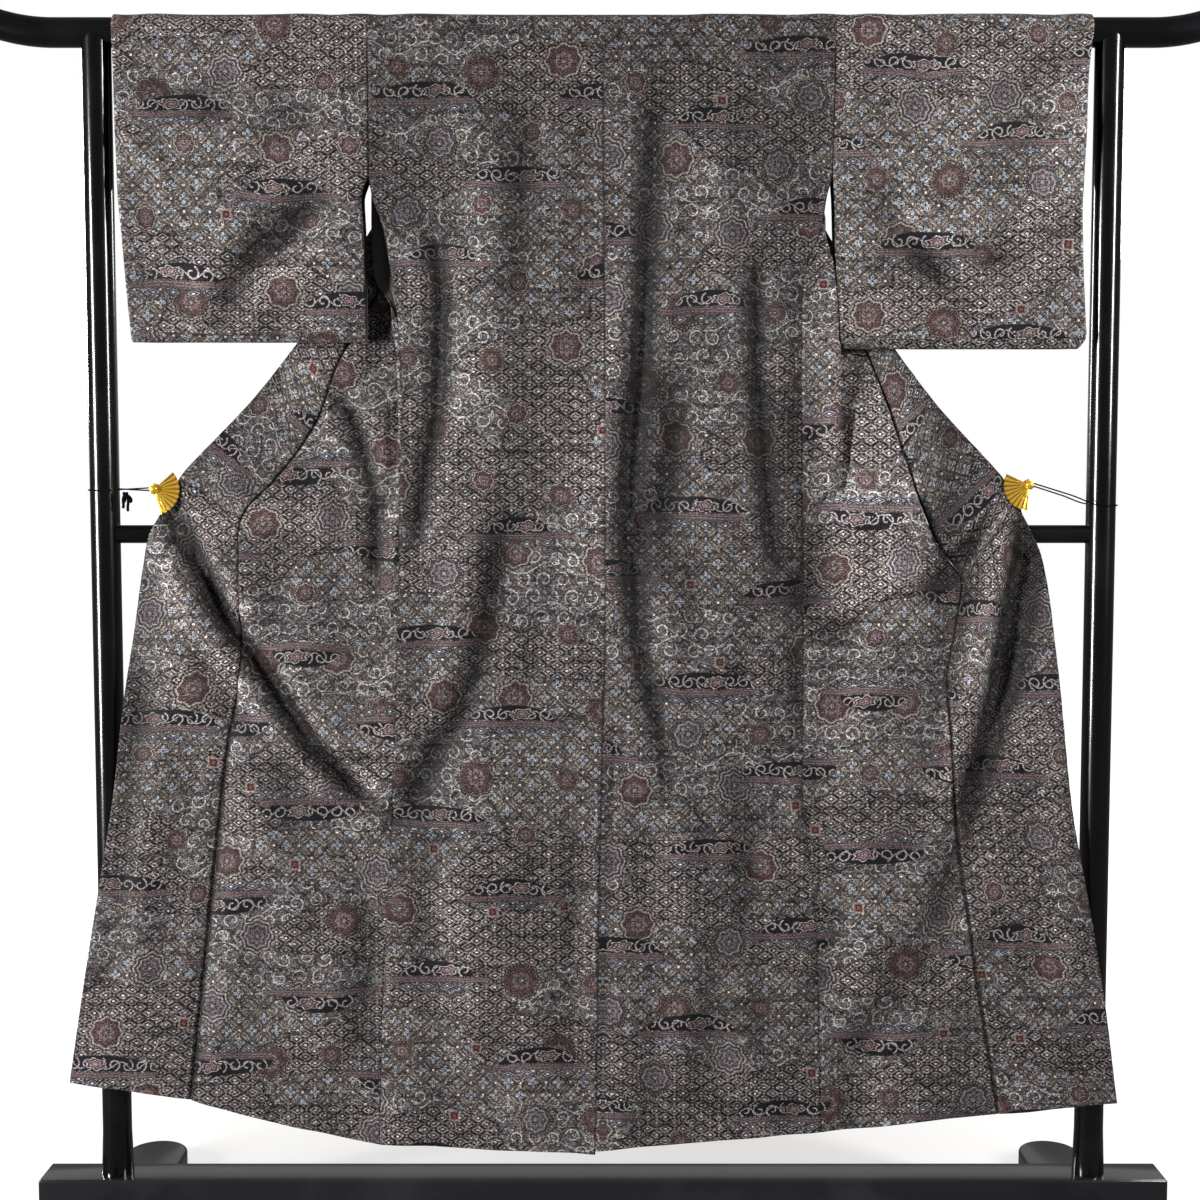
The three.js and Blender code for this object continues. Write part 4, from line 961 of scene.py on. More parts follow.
# A closed wall on a grid: each face lies half the thickness along the grid's own normal.
# push moves both faces along it; the first material is the outer face's, the second the inner one's.
# hollow is how far the cloth lies behind (negative) or before its own plane; the silk reads it as a painted
# shade, darker in the folds and lighter on the ridges.
def clothWall(name, grid, flat, slot, replaced, loop=False, push=0.0, hollow=0.0, outerSign=1):
    rows, columns = grid.shape[:2]
    if loop:
        padded = np.concatenate([grid[-1:], grid, grid[:1]])
        down = np.gradient(padded, axis=0)[1:-1]
    else:
        down = np.gradient(grid, axis=0)
    normal = np.cross(down, np.gradient(grid, axis=1))
    normal *= outerSign / np.maximum(np.linalg.norm(normal, axis=2, keepdims=True), 1e-9)
    centre = grid + normal * np.broadcast_to(push, grid.shape[:2])[..., None]
    half = cloth["wall"] / 2
    faces = centre + normal * half, centre - normal * half
    vertices = np.concatenate([face.reshape(-1, 3) for face in faces])
    size = rows * columns
    bands = rows if loop else rows - 1
    i, j = np.meshgrid(np.arange(bands), np.arange(columns - 1), indexing="ij")
    cornerRows = np.stack([i, i + 1, i + 1, i], -1).reshape(-1, 4)
    cornerColumns = np.stack([j, j, j + 1, j + 1], -1).reshape(-1, 4)
    outer = (cornerRows % rows) * columns + cornerColumns
    uvOuter = cornerRows * columns + cornerColumns
    quads, uvQuads, kinds = [outer, outer[:, ::-1] + size], [uvOuter, uvOuter[:, ::-1]], [0, 1]

    def rim(rowEnds, columnEnds):
        a, b = ((rowEnds[k] % rows) * columns + columnEnds[k] for k in (0, 1))
        ua, ub = (rowEnds[k] * columns + columnEnds[k] for k in (0, 1))
        quads.append(np.stack([a, a + size, b + size, b], -1))
        uvQuads.append(np.stack([ua, ua, ub, ub], -1))
        kinds.append(0)

    k = np.arange(bands)
    rim((k, k + 1), (0 * k, 0 * k))
    rim((k + 1, k), (0 * k + columns - 1,) * 2)
    if not loop:
        k = np.arange(columns - 1)
        rim((0 * k, 0 * k), (k + 1, k))
        rim((0 * k + rows - 1,) * 2, (k, k + 1))
    kind = np.concatenate([np.full(len(q), m) for q, m in zip(quads, kinds)])
    quads, uvQuads = np.concatenate(quads), np.concatenate(uvQuads)
    a, b, c = (vertices[quads[:, k]] for k in (0, 1, 2))
    if np.einsum("ij,ij->i", a, np.cross(b, c)).sum() < 0:
        quads, uvQuads = quads[:, ::-1], uvQuads[:, ::-1]
    data = bpy.data.meshes.new(name)
    data.from_pydata(vertices * toMetres, [], quads.tolist())
    data.materials.append(silkMaterial)
    data.materials.append(liningMaterial)
    data.polygons.foreach_set("material_index", kind.astype(np.int32))
    data.polygons.foreach_set("use_smooth", np.ones(len(quads), bool))
    value = np.broadcast_to(hollow, (rows, columns)).ravel()
    storeHollow(data, np.concatenate([value, value]))
    layer = data.uv_layers.new(name="cut")
    layer.data.foreach_set("uv", (flat.reshape(-1, 2)[uvQuads.ravel()] * toMetres).ravel().astype(np.float32))
    data.update()
    return addObject(name, data, slot, *replaced)


def arcAcross(grid):
    step = np.linalg.norm(np.diff(grid, axis=1), axis=2)
    return np.concatenate([np.zeros((len(grid), 1)), np.cumsum(step, axis=1)], axis=1)


def arcDown(grid):
    step = np.linalg.norm(np.diff(grid, axis=0), axis=2)
    return np.concatenate([np.zeros((1, grid.shape[1])), np.cumsum(step, axis=0)], axis=0)


# Painted shade and light by height on the backs and the fronts, and on the smaller pieces: below zero the
# silk looks darker, above zero lighter.
paintedShadeAndLight = {
    "left": {"z": [1700, 1480, 1250, 900, 116], "back": [-3.2, -3.0, -1.6, -1.1, -0.8],
             "front": [-1, -1, -0.4, -1.4, -1.6], "overlap": -0.5, "sleeve": 0.1},
    "right": {"z": [1700, 1480, 1250, 900, 116], "back": [-4.0, -3.8, -3.1, -2.8, -2.6],
              "front": [-1, -1, 1.4, -0.6, -2.2], "overlap": -2.1, "sleeve": 1.1},
}


barLook = {"bump": 0.8, "bumpFrom": 110}
# Where each piece's cut lies on the silk's repeat, as an offset across and along it.
laidAt = {
    "left": {"body": (500, 61), "sleeve": (730, 83), "overlap": (1330, 47)},
    "right": {"body": (0, 0), "sleeve": (90, 19), "overlap": (1120, 140)},
    "collar": 1600, "frontFrom": 640,
}


# Small bumps where the cloth bends over the bar: a wavering sine, only outward and only on top.
def barBumps(x, z):
    onTop = np.clip((z - stand["barZ"]) / cloth["barRadius"], 0, 1)
    wave = 1 + np.sin(x / 19 + 2.2 * np.sin(x / 53))
    return barLook["bump"] * wave * onTop * smooth((abs(x) - barLook["bumpFrom"]) / 40)


# ---- body: one length from the front hem over the shoulder to the back hem
turnAngles = np.radians(np.linspace(0, 180, 10))[None, :]
pleatShares = np.linspace(0.12, 0.94, 6)[None, :]
innerShares = np.linspace(0.08, 0.92, 9)[None, :]
outerShares = np.concatenate([np.linspace(0, 0.965, 43)[1:], [0.98, 0.99, 0.996, 1.0]])[None, :]
pleatCount = 1 + pleatShares.size + 2 * turnAngles.size + innerShares.size
levelShares = np.concatenate([np.linspace(0, 0.11, pleatCount), 0.11 + 0.89 * outerShares[0]])[None, :]
# dark and darkWide: how strong and how wide the painted shade along each seam's groove is
seams = {"rollWide": 1.8, "side": 1.5, "middle": 1.4, "sewn": 1.8, "collar": 3.0, "overlap": 2.0, "dark": 5.0,
         "darkWide": 1.5, "pucker": 0.35, "puckerWide": 16, "puckerWave": 31,
         "sideLow": 0.35, "sideHigh": 1.5, "sideFrom": 1330, "sideOver": 120}


# Seams: the cloth sinks on a bell beside each edge and puckers along it. Gives the push, and dark: a painted
# shade in the groove along each edge.
def seamRelief(fromStart, fromEnd, along, startDepth, endDepth):
    push, dark = 0, 0
    for away, depth in ((fromStart, startDepth), (fromEnd, endDepth)):
        push = push - depth * np.exp(-((away / seams["rollWide"]) ** 2))
        dark = dark - depth * seams["dark"] * np.exp(-((away / seams["darkWide"]) ** 2))
    wave = np.sin(along * 2 * np.pi / seams["puckerWave"] + 2 * np.sin(along / 47))
    near = np.exp(-np.minimum(fromStart, fromEnd) / seams["puckerWide"])
    return push + seams["pucker"] * wave * near, dark


# Where the pleat behind the side seam begins, and over what height it grows.
seamStart = {"left": 1330, "right": 1464}
seamGrows = {"left": 70, "right": 60}


# A cut across the front: out past the side seam, half round the pleat, in to the diagonal fold,
# half round that, and out to the sewn edge.
def frontCut(side, z):
    s, edge = sideSign[side], panelEdge[side]
    r = cloth["layer"] / 2
    seam = along(edge, "side", z) + seamGap
    share = np.clip((cloth["foldTop"] - z) / (cloth["foldTop"] - cloth["foldBottom"]), 0, 1)
    foldX = mix(cloth["neckHalf"] + 7, along(edge, "side", np.array(cloth["foldBottom"])) - 4, share)
    joined = smooth((seamStart[side] - z) / seamGrows[side])
    front = along(edge, "front", z)
    turnX = mix(front, np.maximum(along(edge, "turn", z), seam + r + 0.6), joined)
    startX = mix(front, seam, joined)
    nearY, behindY = backY(s * startX, z), farY(z)
    opened = [mix(startX, foldX, 0.12 * (0.04 + k))
              for k in (np.linspace(0, 0.06, 6)[None, :], turnAngles / np.pi)]
    pleatX = mix(startX, turnX - r, pleatShares)
    x1 = mix(opened[0], pleatX, joined)
    y1 = mix(behindY, backY(s * pleatX, z), joined) + 0 * x1
    x2 = mix(opened[1], turnX - r + r * np.sin(turnAngles), joined)
    y2 = mix(behindY, nearY + r - r * np.cos(turnAngles), joined)
    x3 = mix(turnX - r, foldX + r, innerShares)
    y3 = mix(mix(behindY, nearY + 2 * r, joined), behindY, smooth(innerShares / 0.6))
    x4 = foldX + r - r * np.sin(turnAngles)
    y4 = behindY + r - r * np.cos(turnAngles)
    x5 = mix(foldX + r, along(sewnEdge[side], "sewn", z), outerShares)
    y5 = flipY(z) - frontRelief(side, x5, z)
    x = np.concatenate([startX, x1, x2, x3, x4, x5], axis=1)
    y = np.concatenate([mix(behindY, nearY, joined), y1, y2, y3, y4, y5], axis=1)
    return points(s * x, y, z)


# Heights of the rows at a seam: level down to the collars' ends, then fanned out to the hem.
def rowHeights(hem, top=1665.0):
    lowest = 917.0
    upper = np.arange(top, lowest, -cloth["rowStep"])
    lower = np.linspace(0, 1, int((lowest - 116) / cloth["rowStep"]) + 1)
    nearHem = 1 - np.array([6.0, 3.5, 1.5, 0]) / 800
    lower = np.concatenate([lower[:-1], nearHem])
    return np.concatenate([upper, mix(lowest, hem, lower)])


def onBar(x, angle):
    return points(x, -cloth["barRadius"] * np.cos(angle), stand["barZ"] + cloth["barRadius"] * np.sin(angle))


def makeBody(side):
    s, hem = sideSign[side], hems[side]
    zSide, zMiddle, zSewn = (rowHeights(hem[k])[:, None] for k in ("side", "middle", "sewn"))
    t = levelShares
    z = mix(zSide, zMiddle, t)
    x = mix(s * along(panelEdge[side], "side", zSide), along(middleDrift, "x", zMiddle) + s * seamGap / 2, t)
    back = points(x, backY(x, z), z)[::-1]
    turns = [0, 33, 66, 80, 98, 130, 158, 180]
    inner = [0, 0, 0, 40, 84, 85, 86, 87]
    angle = np.linspace(0, 180, 25)[1:, None]
    bare = np.maximum(through(turns, inner, angle), seamGap / 2)
    shoulder = along(panelEdge[side], "side", np.array([[stand["barZ"]]]))
    over = onBar(s * mix(shoulder, bare, t), np.radians(angle))
    cut = frontCut(side, zSide)
    levelZ = mix(zSide, zSewn, t) - hem["bow"] * 4 * t * (1 - t) * smooth((420 - zSide) / 250)
    levelX = s * mix(along(panelEdge[side], "side", zSide) + seamGap, along(sewnEdge[side], "sewn", zSewn), t)
    level = points(levelX, backY(levelX, levelZ), levelZ)
    front = mix(cut, level, unrolled(zSide)[..., None])
    top = points(over[-1:, :, 0], over[-1:, :, 1], zSide)
    hanging = smooth((stand["barZ"] - zSide) / 45)[..., None]
    front = mix(top, front, hanging)[1:]
    grid = np.concatenate([back, over, front])
    across = arcAcross(grid)
    rows = len(back)
    u = abs(grid[..., 0])
    u[rows + len(over):] = laidAt["frontFrom"] - u[rows + len(over):]
    v = grid[..., 2].copy()
    v[rows:rows + len(over)] = stand["barZ"] + np.radians(angle) * cloth["barRadius"]
    barArc = math.pi * cloth["barRadius"]
    v[rows + len(over):] = 2 * stand["barZ"] + barArc - grid[rows + len(over):, :, 2]
    startU, startV = laidAt[side]["body"]
    flat = points(startU + s * u, startV + v)
    width = across[:, -1:]
    endDepth = np.full((len(grid), 1), seams["middle"])
    collarDepth = seams["collar"] * collarShows(grid[rows + len(over):, -1:, 0])
    endDepth[rows + len(over):] = mix(collarDepth, seams["sewn"], smooth((collarEnd[side] - zSewn[1:]) / 30))
    grown = smooth((grid[:, :1, 2] - seams["sideFrom"]) / seams["sideOver"])
    startDepth = seams["side"] * mix(seams["sideLow"], seams["sideHigh"], grown)
    push, dark = seamRelief(across, width - across, v, startDepth, endDepth)
    calm = np.zeros((len(grid), 1))
    calm[:rows] = smooth((stand["barZ"] - zSide[::-1] - 8) / 40)
    calm[rows + len(over):] = smooth((stand["barZ"] - zSide[1:] - 8) / 40)
    # hollow: painted shade in the creases, shadow lines and seams, painted highlight on the ridges, quieter
    # on the bar
    hollow = creased(grid[..., 0], grid[..., 2]) * calm + dark * (0.35 + 0.65 * calm)
    hollow[rows + len(over):] += shaded(grid[rows + len(over):, :, 0], grid[rows + len(over):, :, 2])
    # painted shade and light by height, from the table above
    paintedByHeight = along(paintedShadeAndLight[side], "back", grid[..., 2])
    paintedByHeight[rows + len(over):] = along(paintedShadeAndLight[side], "front", grid[rows + len(over):, :, 2])
    hollow = hollow + paintedByHeight
    return clothWall(f"body_{side}_panel", grid, flat, "silk", [f"body_{side}"],
                     push=push * calm + barBumps(grid[..., 0], grid[..., 2]), hollow=hollow, outerSign=s)


bodies = {side: makeBody(side) for side in ("left", "right")}
print("body panels made")


# ---- sleeves: one length folded over the bar, closed along the bottom and below the wrist
def makeSleeve(side):
    s, table = sideSign[side], sleeveEdge[side]
    bottom, rounding = sleeve["bottom"][side], sleeve["round"]
    t = np.concatenate([[0, 0.004, 0.01, 0.02], np.linspace(0.035, 0.965, 50),
                        [0.98, 0.99, 0.993, 0.996, 0.998, 1]])[None, :]
    corner = sleeve["corner"][side]

    def columnX(z):
        tip = np.exp(-(((1 - t) * 340 / max(corner, 1)) ** 2))
        rounded = corner * (1 - np.sqrt(np.clip((z - bottom) / corner, 0.04, 1))) * tip
        return s * (mix(along(table, "inner", z) + seamGap, along(table, "outer", z), t) - rounded)

    def closing(z):
        return smooth((t - 0.9) / 0.07) * smooth((sleeve["wristEnd"] + 10 - z) / 50)

    z = np.arange(bottom + rounding, stand["barZ"], cloth["rowStep"])[:, None]
    x = columnX(z)
    near = points(x, backY(x, z), z)
    angle = np.radians(np.linspace(0, 180, 25))[:, None]
    over = onBar(columnX(np.array([[float(stand["barZ"])]])), angle)
    zDown = z[::-1]
    x = columnX(zDown)
    nearY = backY(x, zDown) + 2 + gap
    farthest = np.maximum(farY(zDown) - hiddenFolds(x, zDown), nearY)
    far = points(x, mix(farthest, nearY, closing(zDown)), zDown)
    hanging = smooth((stand["barZ"] - zDown) / 40)[..., None]
    far = mix(points(over[-1:, :, 0], over[-1:, :, 1], zDown), far, hanging)
    share = np.linspace(1, 0, 13)[1:-1, None]
    zRound = bottom + rounding * (1 - np.sin(share * np.pi)) + 1 + 0 * t
    x = columnX(zRound)
    frontY = backY(x, bottom + rounding + 0 * x)
    behind = mix(np.maximum(farY(zRound), frontY + 2 + gap), frontY + 2 + gap, closing(zRound))
    under = points(x, mix(frontY, behind, share), zRound)
    grid = np.concatenate([near, over, far, under])
    across = arcAcross(grid)
    down = arcDown(np.concatenate([grid, grid[:1]]))
    v = bottom + rounding + down
    startU, startV = laidAt[side]["sleeve"]
    flat = points(startU + np.vstack([abs(grid[..., 0]), abs(grid[:1, :, 0])]), startV + v)
    push, dark = seamRelief(across, across[:, -1:] - across, down[:-1], seams["side"], 0.5)
    calm = smooth((stand["barZ"] - grid[..., 2] - 8) / 40)
    piping = 9 * np.exp(-(((across[:, -1:] - across - 1.2) / 1.1) ** 2))
    # hollow: painted shade in the creases and along the seam, painted highlight on the ridges; piping
    # lightens a thin line along the wrist's edge
    hollow = creased(grid[..., 0], grid[..., 2]) * calm + dark * (0.35 + 0.65 * calm)
    hollow = hollow + piping + paintedShadeAndLight[side]["sleeve"]
    return clothWall(f"sleeve_{side}_cloth", grid, flat, "silk", [f"sleeve_{side}"], loop=True,
                     push=push * calm + barBumps(grid[..., 0], grid[..., 2]), hollow=hollow, outerSign=-s)


sleeves = {side: makeSleeve(side) for side in ("left", "right")}
print("sleeves made")


# ---- overlaps: from the sewn edge to the free edge, top along the collar's end
def makeOverlap(side):
    s, free = sideSign[side], freeEdge[side]
    topEdge = free["z"][0]
    start, hem = collarEnd[side], hems[side]
    share = np.concatenate([[0, 0.002, 0.005], np.linspace(0.01, 0.993, 122), [0.996, 0.998, 1]])[:, None]
    zSeam = mix(start, hem["sewn"], share)
    zEdge = mix(topEdge, hem["edge"], share)
    seamX = along(sewnEdge[side], "sewn", zSeam) + seamGap
    t = np.concatenate([[0, 0.008, 0.02, 0.035], np.linspace(0.06, 0.94, 26),
                        [0.965, 0.98, 0.992, 1]])[None, :]
    x = s * mix(seamX, along(free, "edge", zEdge), t)
    z = mix(zSeam, zEdge, t)
    grid = points(x, backY(x, z), z)
    across = arcAcross(grid)
    startU, startV = laidAt[side]["overlap"]
    flat = points(startU + across, startV + z)
    push, dark = seamRelief(across, across[:, -1:] - across, z, seams["overlap"], 0.6)
    # top sinks the cloth at the collar's end and darkens it there, a painted shade; hollow adds painted shade
    # in creases, shadow lines and seams
    top = -0.5 * np.exp(-((share / 0.004) ** 2))
    return clothWall(f"overlap_{side}_panel", grid, flat, "silk", [f"overlap_{side}"], push=push + top,
                     hollow=creased(x, z) + shaded(x, z) + dark + top * seams["dark"] + paintedShadeAndLight[side]["overlap"],
                     outerSign=s)


overlaps = {side: makeOverlap(side) for side in ("left", "right")}

# ---- collar: one long band from clip to clip, behind the bar at the neck
neckRows = [
    {"out": 0, "turn": 70, "freeOut": 0, "freeY": 25, "freeZ": 1636},
    {"out": 38, "turn": 84, "freeOut": 38, "freeY": 28, "freeZ": 1640},
    {"out": 79, "turn": 103, "freeOut": 80, "freeY": 50, "freeZ": 1656},
]
throatRows = [
    {"turn": 130, "out": 83.4, "freeOut": 92, "freeY": 64, "freeZ": 1664},
    {"turn": 158, "out": 83.4, "freeOut": 108, "freeY": 67, "freeZ": 1658},
    {"turn": 180, "out": 85.4, "freeOut": 126, "freeY": 63, "freeZ": 1652},
]
throatRow = {"z": 1620, "freeOut": 154, "freeY": 50, "freeZ": 1644}
collarRows = [1620, 1595, *range(1570, 1005, -12), 1005, *range(993, 917, -12), 917]
collarLook = {"smoothRows": 9, "bulge": 1.4}


# Stations along one half: a bent cut at the neck, then straight cuts from the seam to the free edge.
def collarStations(side):
    s = sideSign[side]
    t = np.array([0, 0.01, 0.02, 0.035, *np.linspace(0.06, 0.94, 14), 0.97, 0.99, 1])[:, None]
    stations = []
    for row in neckRows:
        sewn = onBar(s * row["out"], math.radians(row["turn"]))
        free = np.array([s * row["freeOut"], row["freeY"], row["freeZ"]], float)
        top = np.array([s * row["out"], 30, stand["barZ"] + 31], float)
        stations.append((1 - t) ** 2 * sewn + 2 * t * (1 - t) * top + t**2 * free)
    for row in throatRows:
        sewn = onBar(s * row["out"], math.radians(row["turn"]))
        sewn[1] += (2 + 4 * gap) if row["turn"] == 180 else 0
        stations.append(mix(sewn, np.array([s * row["freeOut"], row["freeY"], row["freeZ"]], float), t))
    for height in [z for z in collarRows if z >= collarEnd[side]]:
        z = np.array(float(height))
        seamX = along(sewnEdge[side], "sewn", z) + seamGap
        sewnY = mix(flipY(z), backY(s * seamX, z), unrolled(z))
        lapped = smooth((z - 1560) / 60)
        sewn = np.array([s * (seamX + 0.8 * lapped), sewnY + lapped * (2 + 3 * gap), z])
        freeZ = z + along(collarEdge[side], "up", z)
        freeX = s * (seamX + along(collarEdge[side], "out", z))
        behind = np.maximum(flipY(freeZ) + 3, clip["clothY"])
        free = np.array([freeX, mix(behind, clip["clothY"], nearClip(freeX, freeZ)), freeZ])
        if height == throatRow["z"]:
            free = np.array([s * throatRow["freeOut"], throatRow["freeY"], throatRow["freeZ"]], float)
        station = mix(sewn, free, t)
        # towards its end the band lies on the cloth's own surface; above that it shares the front's relief
        level = smooth((collarEnd[side] + 70 - z) / 60) * mix(smooth(t[:, 0] / 0.25), 1, unrolled(z))
        shared = (1 - unrolled(z) * (1 - t[:, 0])) * (1 - level) * smooth((1560 - z) / 40)
        relief = frontRelief(side, abs(station[:, 0]), station[:, 2]) * shared
        station[:, 1] = mix(station[:, 1], backY(station[:, 0], station[:, 2]), level) - relief
        stations.append(station)
    return np.array(stations)


def makeCollar():
    keys = np.concatenate([collarStations("left")[::-1], collarStations("right")[1:]])
    step = np.linalg.norm(np.diff(keys[:, keys.shape[1] // 2], axis=0), axis=1)
    travelled = np.concatenate([[0], np.cumsum(step)])
    fine = np.linspace(0, travelled[-1], int(travelled[-1] / 6))
    grid = np.stack([np.stack([through(travelled, keys[:, j, k], fine) for k in range(3)], -1)
                     for j in range(keys.shape[1])], 1)
    # the free edge runs smoothly: each row there is averaged with its neighbours
    reach = collarLook["smoothRows"]
    padded = np.concatenate([grid[:1].repeat(reach, 0), grid, grid[-1:].repeat(reach, 0)])
    evened = np.mean([padded[k:k + len(grid)] for k in range(2 * reach + 1)], axis=0)
    freeShare = np.linspace(0, 1, grid.shape[1])[None, :, None] ** 2
    row = np.arange(len(grid))
    inner = smooth((row - 4) / reach) * smooth((len(grid) - 5 - row) / reach)
    grid = mix(grid, evened, freeShare * inner[:, None, None] * smooth((abs(grid[..., :1]) - 200) / 80))
    x, z = grid[..., 0], grid[..., 2]
    across = arcAcross(grid)
    width = across[:, -1:]
    shows = collarShows(x)
    middle = np.sin(np.pi * across / width)
    grid[..., 1] -= collarLook["bulge"] * middle * shows
    flat = points(laidAt["collar"] + across, fine[:, None] + 0 * across)
    push, dark = seamRelief(across, width - across, fine[:, None], seams["collar"], 0.5)
    # hollow: painted shade in creases, shadow lines and seams, and towards both edges of the band where it
    # curves back
    hollow = creased(x, z) + shaded(x, z) + 2 * middle - 2 + dark
    return clothWall("collar_band", grid, flat, "silk", ["collar"], push=push * shows, hollow=hollow * shows,
                     outerSign=1)


collarPiece = makeCollar()
print("overlaps and collar made")


# ---- fan clips
fanSpread = {"left": (41, -75), "right": (155, 270)}
fanLook = {"across": 241, "down": 22, "inner": 6.0, "boss": 5.5, "scallop": 1.6, "ringAt": 0.42,
           "ringHigh": 0.35, "edgeHigh": 0.35}


# An open fan: rays from the hub, folded along each rib by a zigzag that grows outward,
# with a raised ring across the ribs and a bead along the scalloped rim. Front and back are one shell.
def makeFan(side):
    (x, z), (start, end) = clipAt[side], fanSpread[side]
    t = np.linspace(0, 1, fanLook["across"])[None, :]
    angle = np.radians(mix(start, end, t))
    wave = abs((t * clip["ribs"]) % 1 * 2 - 1) ** 1.15
    r = np.linspace(0, 1, fanLook["down"])[:, None]
    radius = mix(fanLook["inner"], clip["radius"] - fanLook["scallop"] * (1 - wave), r)
    grown = radius / clip["radius"]
    rise = 1.9 * clip["pleat"] * wave * grown
    ring = fanLook["ringHigh"] * np.exp(-(((r - fanLook["ringAt"]) / 0.05) ** 2))
    bead = fanLook["edgeHigh"] * np.exp(-(((r - 0.97) / 0.04) ** 2))
    px, pz = x + radius * np.cos(angle), z + radius * np.sin(angle)
    backFace = clip["faceY"] - rise
    front = points(px, backFace - clip["plate"] - ring - bead, pz)
    back = points(px, backFace, pz)[:, ::-1]
    rings = np.concatenate([front, back], axis=1)
    leaf = ringSolid(f"fan_{side}_leaf", rings, goldMaterial, "clip_gold", f"fan_{side}")
    # painted shade: the fan's valleys are stored darker for the gold's colour
    paintedValleyShade = np.broadcast_to(-((1 - wave) ** 2.2) * smooth(r * 4), px.shape)
    storeHollow(leaf.data, np.concatenate([paintedValleyShade, paintedValleyShade], axis=1).ravel())
    return leaf


# A lathe round the Y axis: a domed boss with a groove and a small rivet on top.
def makeHub(side):
    x, z = clipAt[side]
    front, rear, r = clip["hubFront"], clip["hubBack"], fanLook["boss"]
    profile = np.array([
        (0.3, front), (0.28 * r, front + 0.1), (0.4 * r, front + 0.6), (0.46 * r, front + 1.2),
        (0.62 * r, front + 1.3), (0.8 * r, front + 1.9), (0.93 * r, front + 2.9), (r, front + 4.2),
        (r, rear - 0.8), (r - 0.8, rear), (0.3, rear),
    ])
    turn = np.linspace(0, 2 * np.pi, 48, endpoint=False)[None, :]
    rings = points(x + profile[:, :1] * np.cos(turn), profile[:, 1:], z + profile[:, :1] * np.sin(turn))
    return ringSolid(f"hub_{side}_boss", rings, goldMaterial, "clip_gold", f"hub_{side}")


# The rear jaw: a rounded bar along the fan's middle ray, its height notched into teeth at the tip.
def makeJaw(side):
    (x, z), spread = clipAt[side], fanSpread[side]
    middle = math.radians(sum(spread) / 2)
    place = np.linspace(-0.5, 0.5, 45)
    length = clip["jawReach"] + place * clip["jawLength"]
    thin = np.clip(1 - (abs(place) / 0.5) ** 14, 0.25, 1)
    teeth = 1 - 0.08 * (np.sin(length * 2.4) > 0) * (place > 0.1)
    rings = []
    for run, share, tooth in zip(length, thin, teeth):
        high, deep = roundedSection(clip["jawHeight"] / 2 * share * tooth, clip["jawThick"] / 2 * share,
                                    0.7 * share)
        rings.append(points(x + run * math.cos(middle) - high * math.sin(middle),
                            clip["hubBack"] + gap + clip["jawThick"] / 2 + deep,
                            z + run * math.sin(middle) + high * math.cos(middle)))
    return ringSolid(f"jaw_{side}_plate", np.array(rings), goldMaterial, "clip_gold", f"jaw_{side}")


for side in ("left", "right"):
    makeFan(side)
    makeHub(side)
    makeJaw(side)
print("clips made")

# ---- studio
studio = {
    "floorSize": 16, "worldLight": 0.09, "worldShine": 0.11,
    "lights": {
        "keyLeft": {"at": (-3.9, -2.4, 1.1), "size": (0.6, 2.1), "watts": 355, "aim": (0, 0, 0.6)},
        "fillRight": {"at": (2.7, -1.8, 2.1), "size": (0.4, 1.8), "watts": 112, "aim": (0.6, 0, 1.3)},
        "overhead": {"at": (0, -2.4, 3.4), "size": (2.4, 0.5), "watts": 6, "aim": (0, 0, 0.9)},
        "behindLeft": {"at": (-3.4, 3.0, 2.2), "size": (0.4, 1.8), "watts": 110, "aim": (0, 0, 0.9)},
        "behindRight": {"at": (2.8, 3.0, 2.6), "size": (0.4, 1.6), "watts": 60, "aim": (0, 0, 0.9)},
        "behindLow": {"at": (0, 3.2, 1.4), "size": (5.0, 0.8), "watts": 5, "aim": (0, 0, 0.2)},
    },
}
floorData = bpy.data.meshes.new("floor")
h = studio["floorSize"] / 2
floorData.from_pydata([(-h, -h, 0), (h, -h, 0), (h, h, 0), (-h, h, 0)], [], [(0, 1, 2, 3)])
floor = bpy.data.objects.new("floor", floorData)
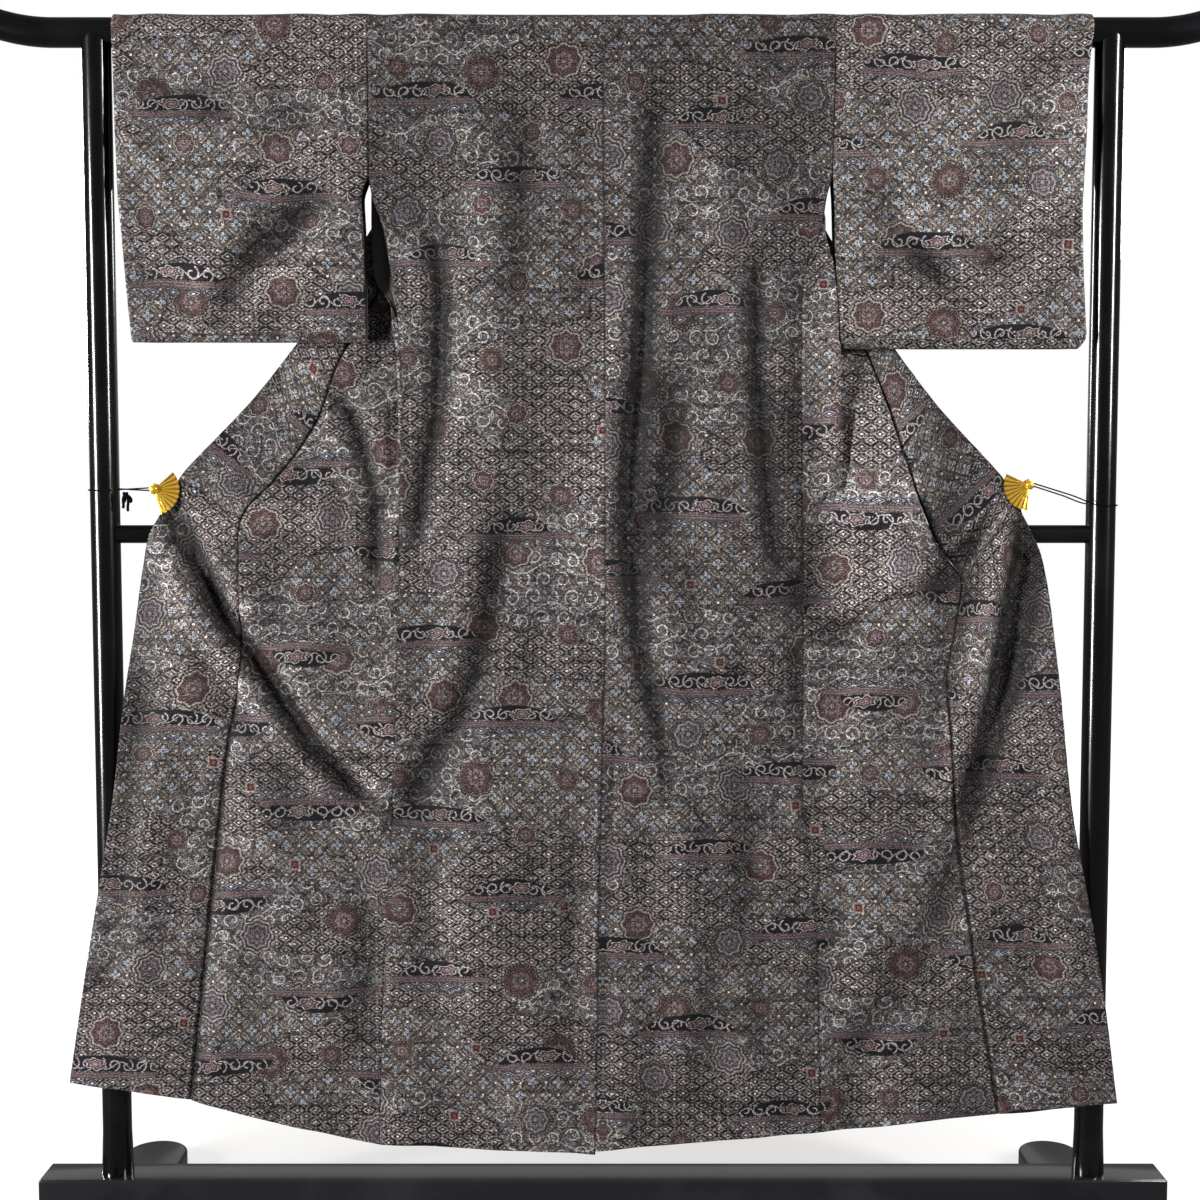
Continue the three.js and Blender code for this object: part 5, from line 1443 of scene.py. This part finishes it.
scene.collection.objects.link(floor)
floorFinish = Finish("paleFloor", {"Base Color": (0.36, 0.36, 0.36, 1), "Roughness": 0.7,
                                   "Emission Strength": 1.0})
# pale near the stand, whiter with distance from its middle: the floor glows, and its grey round the stand is
# a painted shadow
floorX, floorY, _ = floorFinish.parts(floorFinish.node("TexCoord").outputs["Object"])
away = floorFinish.maths("SQRT", floorX * floorX + floorY * floorY)
far = floorFinish.inside(1.1 - away, 0.0, 0.7)
glow = floorFinish.over((0.55, 0.54, 0.53, 1), (1, 1, 1, 1), far)
floorFinish.feed(floorFinish.shader.inputs["Emission Color"], glow)
floorData.materials.append(floorFinish.material)
floor.visible_diffuse, floor.visible_glossy = False, False

for name, light in studio["lights"].items():
    data = bpy.data.lights.new(name, "AREA")
    data.shape, data.energy = "RECTANGLE", light["watts"]
    data.size, data.size_y = light["size"]
    lamp = bpy.data.objects.new(name, data)
    lamp.visible_camera = False
    lamp.location = light["at"]
    aim = Vector(light["aim"]) - Vector(light["at"])
    lamp.rotation_euler = aim.to_track_quat("-Z", "Y").to_euler()
    scene.collection.objects.link(lamp)

world = bpy.data.worlds.new("studioWorld")
scene.world = world
world.use_nodes = True
nodes, links = world.node_tree.nodes, world.node_tree.links
backdrop = nodes["Background"]
backdrop.inputs["Color"].default_value = (1, 1, 1, 1)
seen = nodes.new("ShaderNodeLightPath")
# white to the camera, dark grey to the lacquer, and little light on the cloth
strength = nodes.new("ShaderNodeMath")
strength.operation, strength.use_clamp = "ADD", True
for k, (path, low, high) in enumerate((("Is Camera Ray", studio["worldLight"], 1.0),
                                       ("Is Glossy Ray", 0.0, studio["worldShine"] - studio["worldLight"]))):
    share = nodes.new("ShaderNodeMapRange")
    share.inputs["To Min"].default_value, share.inputs["To Max"].default_value = low, high
    links.new(seen.outputs[path], share.inputs["Value"])
    links.new(share.outputs["Result"], strength.inputs[k])
links.new(strength.outputs[0], backdrop.inputs["Strength"])
scene.view_settings.view_transform = "Standard"
print("studio made")
